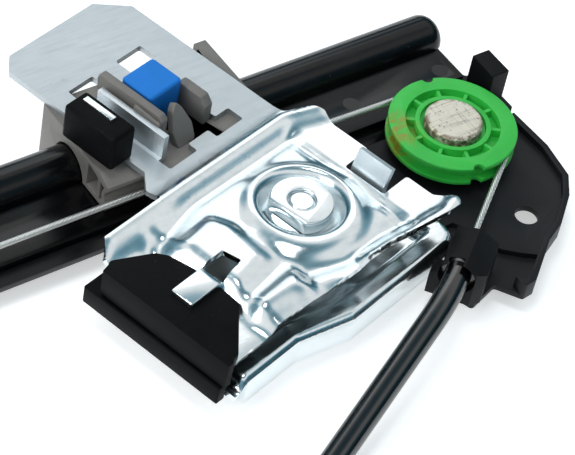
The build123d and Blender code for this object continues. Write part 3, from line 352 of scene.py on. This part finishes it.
finishes = {
    "rail": paintedSteel("railPaint", (0.002, 0.002, 0.0025), roughness=0.17, wear=0.6, gloss=0.3),
    "plate": paintedSteel("platePaint", (0.01, 0.01, 0.012), roughness=0.42, wear=0.3, gloss=0.2),
    "zinc": zincPlate("brightZinc", (0.8, 0.86, 0.88), roughness=0.13, mottle=0.3),
    "plateZinc": zincPlate(
        "plateZinc", (0.8, 0.86, 0.88), roughness=0.13, mottle=0.3, withFlatZone=True
    ),
    "dullZinc": zincPlate("dullZinc", (0.72, 0.77, 0.8), roughness=0.4, mottle=0.35),
    "steel": zincPlate("bareSteel", (0.6, 0.58, 0.54), roughness=0.35, mottle=0.5),
    "cable": zincPlate("cableSteel", (0.78, 0.77, 0.74), roughness=0.34, mottle=0.2),
    "green": greasedWheel("greenPlastic", (0.04, 0.55, 0.07)),
    "black": mouldedPlastic(
        "blackPlastic", (0.005, 0.005, 0.006), roughness=0.5, gloss=0.15, grainDepth=0.05
    ),
    "grey": mouldedPlastic("greyPlastic", (0.2, 0.185, 0.17), roughness=0.45),
    "blue": mouldedPlastic(
        "bluePlastic", (0.015, 0.2, 0.66), roughness=0.45, gloss=0.15, shade=0.9, grainDepth=0.01
    ),
    "pale": mouldedPlastic("palePlastic", (0.7, 0.69, 0.64), roughness=0.45),
    "sheath": mouldedPlastic(
        "sheathJacket", (0.003, 0.003, 0.0035), roughness=0.12, gloss=0.9, grainDepth=0.01
    ),
    "rubber": gummedRubber("padRubber", (0.002, 0.002, 0.0025)),
    "rivet": scratchedRivet("rivetHead"),
}
slotFinish = {
    "rail_paint": "rail", "plate_paint": "plate", "rivet_steel": "rivet", "green_plastic": "green",
    "black_plastic": "black", "sheath_plastic": "sheath", "cable_steel": "cable",
    "grey_plastic": "grey", "zinc_steel": "zinc", "pad_rubber": "rubber", "blue_plastic": "blue",
    "drum_plastic": "pale", "spring_steel": "steel",
}
slotOf = {entry["node"]: entry["material_slot"] for entry in frame["record"]["subparts"]}
bodies = frame["record"]["behaviour"]["bodies"]
bodyOf = {node: body for body, nodes in bodies.items() for node in nodes}


def dress(thing, finishName):
    thing.data.materials.clear()
    thing.data.materials.append(finishes[finishName])


for nodeName, slotName in slotOf.items():
    for materialSlot in frame["nodes"][nodeName].material_slots:
        materialSlot.material = finishes[slotFinish[slotName]]
dress(frame["nodes"]["rail_rivets"], "rail")  # painted over together with the rail
print("finishes:", len(finishes))


# from 0 at start to 1 at end, with soft ends
def rise(value, start, end):
    share = min(1.0, max(0.0, (value - start) / (end - start)))
    return share * share * (3 - 2 * share)


def lineDistance(point, start, end):
    run = end - start
    share = max(0.0, min(1.0, (point - start).dot(run) / run.length_squared))
    return (point - start - run * share).length


def pathDistance(point, path):
    return min(lineDistance(point, Vector(a), Vector(b)) for a, b in zip(path, path[1:]))


def insideDepth(point, corners):
    closed = [*corners, corners[0]]
    depth = pathDistance(point, closed)
    inside = False
    for (ax, ay), (bx, by) in zip(closed, closed[1:]):
        if (ay > point.y) != (by > point.y) and point.x < (bx - ax) * (point.y - ay) / (by - ay) + ax:
            inside = not inside
    return depth if inside else -depth


def curved(start, corner, end, steps):
    shares = [step / steps for step in range(steps + 1)]
    return [start.lerp(corner, share).lerp(corner.lerp(end, share), share) for share in shares]


def rounded(corners, radius, steps=5):
    points = []
    count = len(corners)
    for index in range(count):
        before, corner, after = (Vector(corners[(index + shift) % count]) for shift in (-1, 0, 1))
        inward = (before - corner).normalized()
        outward = (after - corner).normalized()
        # each side keeps a straight stretch between its two corners
        room = 0.45 * min((before - corner).length, (after - corner).length)
        reach = min(radius / math.tan(inward.angle(outward) / 2), room)
        points += curved(corner + inward * reach, corner, corner + outward * reach, steps)
    return points


def cuts(low, high, step):
    return [low + step * index for index in range(int((high - low) / step) + 1)]


def pick(piece):
    bpy.ops.object.select_all(action="DESELECT")
    piece.select_set(True)
    bpy.context.view_layer.objects.active = piece


# a bevel on the sharp edges, after a thickness where one is given
def shaped(piece, edge, segments, limit, thick=None, offset=0):
    if thick:
        solid = piece.modifiers.new("thick", "SOLIDIFY")
        solid.thickness = thick * mm
        solid.offset = offset
    soften = piece.modifiers.new("edge", "BEVEL")
    soften.width = edge * mm
    soften.segments = segments
    soften.limit_method = "ANGLE"
    soften.angle_limit = math.radians(limit)
    pick(piece)
    for modifier in list(piece.modifiers):
        bpy.ops.object.modifier_apply(modifier=modifier.name)
    return piece


def finishPiece(piece, finishName, body, slotName, *replaced, angle=35):
    dress(piece, finishName)
    pick(piece)
    bpy.ops.object.shade_smooth_by_angle(angle=math.radians(angle))
    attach(piece, body)
    if replaced:
        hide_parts(*replaced)


def pieceFrom(name, shape, matrix):
    mesh = bpy.data.meshes.new(name)
    shape.transform(matrix)
    shape.to_mesh(mesh)
    shape.free()
    piece = bpy.data.objects.new(name, mesh)
    bpy.context.scene.collection.objects.link(piece)
    return piece


# how close counts as the same place
closeness = {"cut": 1e-5, "weld": 1e-4, "onPath": 0.05}


# a flat outline with openings, cut into small faces that can be pressed into shape
def sheetShape(outline, openings, cutsAlong, cutsAcross):
    shape = bmesh.new()
    edges = []
    for loop in (outline, *openings):
        points = [shape.verts.new((x, y, 0)) for x, y in loop]
        edges += [shape.edges.new(pair) for pair in zip(points, points[1:] + points[:1])]
    bmesh.ops.triangle_fill(shape, use_beauty=True, edges=edges)
    for axis, places in ((Vector((1, 0, 0)), cutsAlong), (Vector((0, 1, 0)), cutsAcross)):
        for place in places:
            geometry = shape.verts[:] + shape.edges[:] + shape.faces[:]
            bmesh.ops.bisect_plane(
                shape, geom=geometry, dist=closeness["cut"], plane_co=axis * place, plane_no=axis
            )
    bmesh.ops.remove_doubles(shape, verts=shape.verts, dist=closeness["weld"])
    for face in shape.faces:
        if face.normal.z < 0:
            face.normal_flip()
    return shape


# lift plate with the upper jaw; in the pairs a form starts at the first place and is full at the second
jaw = {
    "top": 12.0, "sheet": 1.5, "edge": 0.25,
    "cornerRadius": 0.8, "windowRadius": 0.6, "hookRadius": 0.5,
    "cutsAlong": (-43.5, 27, 0.55), "cutsAcross": (-24, 22.5, 0.55), "flatCuts": (24, 72, 4),
    "flatFrom": 24.5, "blur": 1.25, "land": 1.5, "hookSlope": 3.0, "frontSlope": 3.4,
    "boss": (-1.0, -1.8), "bossReach": (15.2, 11.6), "recess": 2.2, "recessReach": (10.2, 7.8),
    "bridge": 0.9, "bridgeMiddle": -1.5, "bridgeSides": (6.0, 2.0), "bridgeHead": (-20, -17),
    "bridgeTail": (-8, -12), "corner": 1.3, "cornerAcross": (-17.5, -22.5), "cornerAlong": (-8, -16),
    "tongue": 2.5, "tongueAlong": (-29.2, -32.6), "tongueAcross": (17.5, 14.5),
}
plateOutline = [
    (-15.1, 73.85), (-18.8, 70.2), (-18.8, 29.0), (-22.6, 25.0), (-22.6, 20.8), (-40.2, 20.8),
    (-43.4, 17.2), (-44.0, -17.8), (-42.8, -19.0), (-29.0, -19.1), (-15.8, -20.0), (-4.0, -20.3),
    (5.0, -20.9), (14.5, -22.8), (22.0, -24.0), (25.4, -24.2), (26.6, -23.0), (26.4, -21.2),
    (24.2, -17.5), (24.2, -10.2), (16.0, -10.2), (16.0, 1.0), (24.2, 1.0), (24.2, 11.0),
    (25.4, 14.9), (24.0, 17.6), (18.3, 20.5), (18.3, 67.4), (11.8, 73.85),
]
plateWindow = [
    (-13.4, 57.2), (-13.9, 48.6), (-13.9, 25.9), (-5.1, 25.9), (-5.1, 28.6), (1.4, 28.6), (1.4, 25.9),
    (10.1, 25.9), (10.1, 30.4), (5.8, 30.4), (5.8, 52.0), (9.9, 52.0), (9.9, 57.1), (1.8, 57.1),
    (1.8, 51.0), (-5.7, 51.0), (-5.7, 57.2),
]
hookWindow = [(-31.0, 2.0), (-24.3, 1.4), (-23.4, -3.0), (-31.2, -4.2)]
hookLand = [(-29.6, 9.3), (-18.6, 10.3), (-16.5, 5.1), (-17.7, -6.2), (-30.1, -8.4)]
frontLand = [(-16.1, -11.6), (-29.0, -12.2), (-32.0, -15.2), (-21.0, -16.8), (-17.6, -18.6)]
beads = {  # negative heights are grooves
    "back groove": {"height": -1.2, "width": 1.5, "path": [(14.0, 15.2), (-17.8, 16.0), (-34.0, 12.3)]},
    "back rim": {
        "height": 1.9, "width": 1.9, "path": [(-41.0, 20.2), (-22.6, 20.2), (17.0, 19.6), (25.4, 16.2)],
    },
    "crease": {"height": -0.6, "width": 0.7, "path": [(13.3, 12.5), (13.4, -19.5)]},
    "front rim": {
        "height": 2.1, "width": 2.3,
        "path": [(-1.0, -20.5), (5.0, -20.8), (14.5, -22.6), (22.0, -23.6), (26.2, -22.6)],
    },
    "front groove": {
        "height": -1.0, "width": 2.0, "path": [(12.0, -18.6), (-5.0, -16.8), (-14.5, -13.4)],
    },
}


def plateau(point, corners, slope):
    return rise(insideDepth(point, corners), -slope / 2, slope / 2)


def bead(point, height, width, path):
    return height * math.exp(-((pathDistance(point, path) / width) ** 2))


def pressedHeight(point):
    a, b = point
    boss = rise((point - Vector(jaw["boss"])).length, *jaw["bossReach"])
    hook = plateau(point, hookLand, jaw["hookSlope"])
    front = plateau(point, frontLand, jaw["frontSlope"])
    bridge = rise(a, *jaw["bridgeHead"]) * rise(a, *jaw["bridgeTail"])
    bridge *= rise(abs(b - jaw["bridgeMiddle"]), *jaw["bridgeSides"])
    height = max(jaw["land"] * max(hook, boss, front), jaw["bridge"] * bridge)
    height += (-jaw["recess"] - height) * rise(point.length, *jaw["recessReach"])
    height += sum(bead(point, **sizes) for sizes in beads.values())
    height -= jaw["corner"] * rise(b, *jaw["cornerAcross"]) * rise(a, *jaw["cornerAlong"])
    height -= jaw["tongue"] * rise(a, *jaw["tongueAlong"]) * rise(b, *jaw["tongueAcross"])
    return height


# the height is a mean over the points nearby, so that no form has a hard edge
def jawHeight(point):
    if point.y > jaw["flatFrom"]:
        return 0.0
    weights = ((-jaw["blur"], 0.25), (0, 0.5), (jaw["blur"], 0.25))
    height = 0.0
    for x, alongShare in weights:
        for y, acrossShare in weights:
            height += alongShare * acrossShare * pressedHeight(point + Vector((x, y)))
    return height


plateShape = sheetShape(
    rounded(plateOutline, jaw["cornerRadius"]),
    [
        rounded(plateWindow, jaw["windowRadius"], steps=3),
        rounded(hookWindow, jaw["hookRadius"], steps=3),
    ],
    cuts(*jaw["cutsAlong"]),
    cuts(*jaw["cutsAcross"]) + cuts(*jaw["flatCuts"]),
)
for vertex in plateShape.verts:
    vertex.co.z = jaw["top"] + jawHeight(vertex.co.to_2d())
liftPlate = pieceFrom("liftPlateSheet", plateShape, clampPlace)
shaped(liftPlate, jaw["edge"], segments=2, limit=50, thick=jaw["sheet"], offset=-1)
finishPiece(liftPlate, "plateZinc", "carriage", "zinc_steel", "lift_plate", angle=50)
print("lift plate pressed:", len(liftPlate.data.vertices), "points")

# each tab runs through a and z, and is as wide as its two places on b
tabs = {
    "hookLeaf": {"run": [(-29.6, 10.6), (-31.2, 12.2), (-40.2, 12.1)], "sides": (-4.1, 1.7)},
    "windowTab": {
        "run": [(-16.6, 11.25), (-12.2, 11.25), (-12.2, 18.1)], "sides": (29.4, 49.3),
        "finishName": "dullZinc",
    },
    "bufferTab": {"run": [(-17.6, 11.25), (-19.9, 11.25), (-19.9, 21.95)], "sides": (38.4, 46.9)},
}
fulcrumTab = {
    "run": [(13.0, 0.75), (17.8, 0.75), (17.8, 12.0), (19.5, 16.5)], "sides": (-9.2, 0.0), "bend": 0.9,
    "finishName": "dullZinc", "body": "lower_jaw",
}


def bentTab(name, run, sides, sheet=1.5, bend=1.0, edge=0.3, finishName="zinc", body="carriage"):
    corners = [Vector(corner) for corner in run]
    points = corners[:1]
    for before, corner, after in zip(corners, corners[1:], corners[2:]):
        start = corner + (before - corner).normalized() * bend
        points += curved(start, corner, corner + (after - corner).normalized() * bend, steps=4)
    points.append(corners[-1])
    shape = bmesh.new()
    rows = [[shape.verts.new((point.x, side, point.y)) for side in sides] for point in points]
    for low, high in zip(rows, rows[1:]):
        shape.faces.new((low[0], high[0], high[1], low[1]))
    bmesh.ops.recalc_face_normals(shape, faces=shape.faces)
    tab = shaped(pieceFrom(name, shape, clampPlace), edge, segments=3, limit=50, thick=sheet)
    finishPiece(tab, finishName, body, "zinc_steel", angle=40)


for tabName, tab in tabs.items():
    bentTab(tabName, **tab)

lowerJaw = {
    "sheet": 1.5, "edge": 0.25, "floor": 1.5,
    "rim": 4.6, "rimWall": (6.8, 4.6), "rimStart": (-42.7, -40.7),
    "lip": 1.3, "flangeFrom": -40.7, "flangeFoot": -3.4, "flangeEnd": (24.5, 16.5), "endFoot": 0.6,
    "holeRadius": 4.3, "holeSides": 24,
    "cutsAlong": (-43.6, 26.4, 0.8), "cutsAcross": (-25.4, -12, 0.4), "flatCuts": (-11, 19, 3),
}
frontPath = [
    (-44.0, -21.5), (-24.0, -21.5), (-10.0, -25.5), (22.5, -25.5), (25.3, -24.4), (26.5, -21.5),
    (26.5, -17.5),
]
lowerOutline = [
    *frontPath, (25.0, -14.0), (22.5, -11.0), (22.5, 5.0), (0.0, 11.0), (-20.0, 16.6), (-40.0, 19.5),
    (-44.0, 19.5),
]


def circle(radius, sides):
    turns = (2 * math.pi * index / sides for index in range(sides))
    return [(radius * math.cos(turn), radius * math.sin(turn)) for turn in turns]


def lowerHeight(point):
    away = pathDistance(point, frontPath)
    along = rise(point.x, *lowerJaw["rimStart"])
    raised = (lowerJaw["rim"] - lowerJaw["floor"]) * rise(away, *lowerJaw["rimWall"])
    drop = lowerJaw["lip"] * max(0.0, 1 - away / lowerJaw["lip"]) ** 2
    return lowerJaw["floor"] + (raised - drop) * along


def onRim(edge):
    middle = ((edge.verts[0].co + edge.verts[1].co) / 2).to_2d()
    near = pathDistance(middle, frontPath) < closeness["onPath"]
    return edge.is_boundary and near and middle.x > lowerJaw["flangeFrom"]


lowerShape = sheetShape(
    lowerOutline,
    [circle(lowerJaw["holeRadius"], lowerJaw["holeSides"])],
    cuts(*lowerJaw["cutsAlong"]),
    cuts(*lowerJaw["cutsAcross"]) + cuts(*lowerJaw["flatCuts"]),
)
for vertex in lowerShape.verts:
    vertex.co.z = lowerHeight(vertex.co.to_2d())
# the flange hangs from the rim and gets shorter toward the wheel
rimEdges = [edge for edge in lowerShape.edges if onRim(edge)]
flange = bmesh.ops.extrude_edge_only(lowerShape, edges=rimEdges)
for item in flange["geom"]:
    if isinstance(item, bmesh.types.BMVert):
        fade = rise(item.co.x, *lowerJaw["flangeEnd"])
        item.co.z = lowerJaw["flangeFoot"] * fade + (1 - fade) * lowerJaw["endFoot"]
bmesh.ops.recalc_face_normals(lowerShape, faces=lowerShape.faces)
if max(lowerShape.faces, key=lambda face: face.calc_area()).normal.z < 0:
    bmesh.ops.reverse_faces(lowerShape, faces=lowerShape.faces)
jawSheet = pieceFrom("lowerJawSheet", lowerShape, clampPlace)
shaped(jawSheet, lowerJaw["edge"], segments=2, limit=50, thick=lowerJaw["sheet"], offset=-1)
finishPiece(jawSheet, "zinc", "lower_jaw", "zinc_steel", "lower_jaw", angle=50)
bentTab("fulcrumTab", **fulcrumTab)
print("clamp sheets bent")

# bevel widths for the parts that keep their own shape
softEdges = {
    "guide_rail": 0.5, "lower_head_plate": 0.5, "upper_head_plate": 0.5,
    "lower_locating_block": 0.35, "upper_locating_block": 0.35,
    "lower_cable_holder": 0.45, "upper_cable_holder": 0.45,
    "upper_glass_pad": 0.7, "lower_glass_pad": 0.35, "jaw_nut": 0.3, "lock_wedge": 1.3,
    "lower_pulley": 0.25, "upper_pulley": 0.25, "drum_housing": 0.5, "drum_cover": 0.4,
}
copying = {"weld": 0.005, "flatAngle": 0.5}


def copyOf(nodeName, flatFaces=True):
    piece = bpy.data.objects.new(nodeName + "Soft", frame["nodes"][nodeName].data.copy())
    bpy.context.scene.collection.objects.link(piece)
    pick(piece)
    bpy.ops.object.mode_set(mode="EDIT")
    bpy.ops.mesh.select_all(action="SELECT")
    bpy.ops.mesh.remove_doubles(threshold=copying["weld"] * mm)
    if flatFaces:
        bpy.ops.mesh.dissolve_limited(angle_limit=math.radians(copying["flatAngle"]))
    else:
        bpy.ops.mesh.tris_convert_to_quads()
    bpy.ops.object.mode_set(mode="OBJECT")
    return piece


def softened(piece, nodeName, width):
    shaped(piece, width, segments=3, limit=40)
    finishPiece(piece, slotFinish[slotOf[nodeName]], bodyOf[nodeName], slotOf[nodeName], nodeName)


for nodeName, width in softEdges.items():
    softened(copyOf(nodeName), nodeName, width)

# the slider loses its arms at the cut, and gets them back as shaped blades
sliderCut = {"height": 10.53, "right": -41.8, "edge": 0.4}
slider = copyOf("slider_body", flatFaces=False)
for face in slider.data.polygons:
    face.select = face.center.x < pulleyAxis.x + sliderCut["right"] * mm
bpy.ops.object.mode_set(mode="EDIT")
bpy.ops.mesh.select_mode(type="FACE")
bpy.ops.mesh.bisect(
    plane_co=(0, 0, sliderCut["height"] * mm), plane_no=(0, 0, 1), clear_outer=True, use_fill=True
)
bpy.ops.object.mode_set(mode="OBJECT")
softened(slider, "slider_body", sliderCut["edge"])


def blade(name, outline, place, thick, radius, edge=0.35):
    shape = bmesh.new()
    shape.faces.new([shape.verts.new((x, y, 0)) for x, y in rounded(outline, radius)])
    piece = shaped(pieceFrom(name, shape, clampPlace @ place), edge, segments=3, limit=50, thick=thick)
    finishPiece(piece, "grey", "carriage", "grey_plastic", angle=40)


# stands an outline drawn in b and z at a place on the clamp's a axis
def facingAlong(a):
    return Matrix(((0, 0, 1, a), (1, 0, 0, 0), (0, 1, 0, 0), (0, 0, 0, 1)))


sliderArms = {
    "leftArm": {
        "a": -9.5, "thick": 2.0, "radius": 0.9,
        "outline": [(32.5, 9.6), (32.5, 19.0), (33.6, 20.0), (51.4, 20.0), (52.0, 18.2), (50.7, 9.6)],
    },
    "leftRib": {
        "a": -10.9, "thick": 0.9, "radius": 0.9,
        "outline": [(32.5, 9.6), (32.5, 18.8), (40.4, 19.3), (40.4, 9.6)],
    },
    "rightArm": {
        "a": 4.3, "thick": 2.6, "radius": 0.9,
        "outline": [(31.5, 9.6), (31.5, 15.6), (33.2, 17.6), (40.0, 17.6), (42.5, 9.6)],
    },
}
for armName, arm in sliderArms.items():
    blade(armName, arm["outline"], facingAlong(arm["a"]), arm["thick"], arm["radius"])
petal = {
    "base": (-3.9, 30.4, 9.8), "lean": 30, "thick": 2.0, "radius": 1.4,
    "outline": [(-2.8, 0), (2.7, 0), (3.1, 4.2), (1.6, 8.6), (0.2, 10.6), (-1.4, 8.8), (-3.0, 4.2)],
}
petalTurn = Matrix.Rotation(math.radians(90 - petal["lean"]), 4, "X")
petalPlace = Matrix.Translation(petal["base"]) @ petalTurn
blade("petal", petal["outline"], petalPlace, petal["thick"], petal["radius"])

buffer = {"low": (-24.5, 33.8, 12.0), "high": (-17.5, 48.8, 21.4), "edge": 0.9}
bufferLow, bufferHigh = Vector(buffer["low"]), Vector(buffer["high"])
bpy.ops.mesh.primitive_cube_add(size=1)
block = bpy.context.object
block.name = "bufferBlock"
block.data.transform(
    Matrix.Translation(clampPlace @ ((bufferLow + bufferHigh) / 2)) @ Matrix.Rotation(clampTurn, 4, "Z")
    @ Matrix.Diagonal((*((bufferHigh - bufferLow) * mm), 1))
)
shaped(block, buffer["edge"], segments=4, limit=40)
finishPiece(block, "rubber", "carriage", "pad_rubber", "stop_buffer", angle=40)
print("edges softened:", len(softEdges))

# strands wind round a core; a route is measured from its pulley's axis and mirrored at the upper one
cable = {
    "radius": 0.75, "strands": 6, "strand": 0.27, "lay": 7.0, "core": 0.24, "step": 0.45, "sides": 6,
    "height": 5.5, "smoothness": 32,
}
wrapRoute = [
    (-50.0, 15.0), (-36.0, 15.0), (-3.0, 13.91), (3.92, 13.68), (9.93, 10.2), (13.57, 4.29),
    (13.98, -2.64), (11.08, -8.93), (5.54, -13.11), (-18.05, -30.88),
]
cableStart = {"lower_cable": (-58.0, 15.0), "upper_cable": (-394.0, 15.0)}


def routePoints(name, route, place):
    line = bpy.data.curves.new(name + "Line", "CURVE")
    line.dimensions = "3D"
    line.resolution_u = cable["smoothness"]
    spline = line.splines.new("NURBS")
    spline.points.add(len(route) - 1)
    for point, (x, y) in zip(spline.points, route):
        point.co = (*(place @ Vector((x, y, cable["height"]))), 1)
    spline.order_u = 3
    spline.use_endpoint_u = True
    holder = bpy.data.objects.new(name + "Line", line)
    mesh = bpy.data.meshes.new_from_object(holder)
    points = [vertex.co.copy() for vertex in mesh.vertices]
    bpy.data.objects.remove(holder)
    bpy.data.meshes.remove(mesh)
    return points


def evenSteps(points, step):
    steps = [points[0].copy()]
    left = step
    for start, end in zip(points, points[1:]):
        run = (end - start).length
        while left <= run:
            steps.append(start.lerp(end, left / run))
            left += step
        left -= run
    return steps


def directions(points):
    pairs = zip([points[0], *points[:-1]], [*points[1:], points[-1]])
    return [(after - before).normalized() for before, after in pairs]


def ring(shape, centre, outward, along, radius, sides):
    side = along.cross(outward).normalized()
    out = side.cross(along).normalized()
    return [shape.verts.new(centre + out * x + side * y) for x, y in circle(radius, sides)]


def addStrand(shape, steps, share):
    up = Vector((0, 0, 1))
    layRadius = (cable["radius"] - cable["strand"]) * mm
    outwards = []
    for index, along in enumerate(directions(steps)):
        turn = 2 * math.pi * (index * cable["step"] / cable["lay"] + share)
        outwards.append(up * math.sin(turn) + along.cross(up) * math.cos(turn))
    centres = [point + outward * layRadius for point, outward in zip(steps, outwards)]
    rings = [
        ring(shape, centre, outward, along, cable["strand"] * mm, cable["sides"])
        for centre, outward, along in zip(centres, outwards, directions(centres))
    ]
    for low, high in zip(rings, rings[1:]):
        for index in range(cable["sides"]):
            after = (index + 1) % cable["sides"]
            shape.faces.new((low[index], low[after], high[after], high[index]))
    for end in (rings[0], rings[-1]):
        shape.faces.new(end)


def strandedCable(nodeName, place):
    shape = bmesh.new()
    route = [cableStart[nodeName], *wrapRoute]
    steps = evenSteps(routePoints(nodeName, route, place), cable["step"] * mm)
    for strand in range(cable["strands"]):
        addStrand(shape, steps, strand / cable["strands"])
    bmesh.ops.recalc_face_normals(shape, faces=shape.faces)
    strands = pieceFrom(nodeName + "Strands", shape, Matrix.Identity(4))
    finishPiece(strands, "cable", bodyOf[nodeName], slotOf[nodeName], angle=60)
    core = copyOf(nodeName, flatFaces=False)
    bpy.ops.object.mode_set(mode="EDIT")
    bpy.ops.mesh.select_all(action="SELECT")
    bpy.ops.transform.shrink_fatten(value=-cable["core"] * mm)
    bpy.ops.object.mode_set(mode="OBJECT")
    finishPiece(core, "steel", bodyOf[nodeName], slotOf[nodeName], nodeName)


upperAxis = boxMiddle("upper_pulley")
upperAxis.z = 0
mirrored = Matrix.Scale(-1, 4, (1, 0, 0))
strandedCable("lower_cable", Matrix.Translation(pulleyAxis) @ Matrix.Scale(mm, 4))
strandedCable("upper_cable", Matrix.Translation(upperAxis) @ Matrix.Scale(mm, 4) @ mirrored)
print("cables stranded")

# the camera's place is in millimetres; its clip range, the floor and the lamps are in metres
view = {
    "place": (-324.38, -270.92, 410.53), "heading": 43.036, "elevation": 45.752, "roll": 12.012,
    "lens": 162.78, "clip": (0.02, 20),
}
camera = bpy.data.objects.new("camera", bpy.data.cameras.new("camera"))
bpy.context.scene.collection.objects.link(camera)
bpy.context.scene.camera = camera
camera.data.lens = view["lens"]
camera.data.clip_start, camera.data.clip_end = view["clip"]
camera.matrix_world = (
    Matrix.Translation(Vector(view["place"]) * mm)
    @ Matrix.Rotation(-math.radians(view["heading"]), 4, "Z")
    @ Matrix.Rotation(math.radians(90 - view["elevation"]), 4, "X")
    @ Matrix.Rotation(math.radians(view["roll"]), 4, "Z")
)

studio = {
    "floorTone": 0.9, "floorGlow": 0.5, "floorRoughness": 0.9,
    "floorSize": 6.0, "floorMiddle": (-0.2, 0), "floorGap": 0.0002, "skyPower": 0.9,
    "sky": [
        (0.0, (0.02, 0.07, 0.1)), (0.66, (0.03, 0.11, 0.15)), (0.77, (0.2, 0.4, 0.5)),
        (0.805, (1.0, 1.0, 1.0)), (0.905, (1.0, 1.0, 1.0)), (0.94, (0.24, 0.42, 0.5)),
        (1.0, (0.03, 0.11, 0.15)),
    ],
}
floorPlace = (*studio["floorMiddle"], startBounds[0][2] - studio["floorGap"])
bpy.ops.mesh.primitive_plane_add(size=studio["floorSize"], location=floorPlace)
floor = bpy.context.object
floor.name = "floor"
floorFinish = Finish("floorPaper", (studio["floorTone"],) * 3, studio["floorRoughness"], 0.0, {
    "Emission Color": (1, 1, 1, 1), "Emission Strength": studio["floorGlow"], "Specular IOR Level": 0.0,
})
floor.data.materials.append(floorFinish.material)
lamps = {
    "top": {"place": (-0.15, 0.1, 0.9), "aim": (-0.05, 0.0, 0), "size": 0.25, "power": 2},
    "left": {"place": (-0.8, 0.1, 0.45), "aim": (-0.05, 0.0, 0), "size": 0.35, "power": 3},
    "back": {"place": (0.35, 0.8, 0.6), "aim": (-0.05, 0.0, 0), "size": 0.6, "power": 1.2},
}
for name, lamp in lamps.items():
    light = bpy.data.objects.new(name + "Lamp", bpy.data.lights.new(name + "Lamp", "AREA"))
    bpy.context.scene.collection.objects.link(light)
    light.location = lamp["place"]
    light.rotation_euler = (Vector(lamp["aim"]) - light.location).to_track_quat("-Z", "Y").to_euler()
    light.data.size = lamp["size"]
    light.data.energy = lamp["power"]
world = bpy.data.worlds.new("studio")
bpy.context.scene.world = world
world.use_nodes = True
skyTree = world.node_tree
direction = skyTree.nodes.new("ShaderNodeSeparateXYZ")
skyTree.links.new(skyTree.nodes.new("ShaderNodeTexCoord").outputs["Generated"], direction.inputs[0])
lifted = skyTree.nodes.new("ShaderNodeMapRange")
lifted.inputs["From Min"].default_value = -1
skyTree.links.new(direction.outputs["Z"], lifted.inputs["Value"])
sky = skyTree.nodes.new("ShaderNodeValToRGB")
stops = sky.color_ramp.elements
for place, tone in studio["sky"][1:-1]:
    stops.new(place)
for stop, (place, tone) in zip(stops, studio["sky"]):
    stop.position = place
    stop.color = (*tone, 1)
skyTree.links.new(lifted.outputs["Result"], sky.inputs["Fac"])
skyTree.links.new(sky.outputs["Color"], skyTree.nodes["Background"].inputs["Color"])
skyTree.nodes["Background"].inputs["Strength"].default_value = studio["skyPower"]
bpy.context.scene.view_settings.view_transform = "Standard"
print("studio ready")
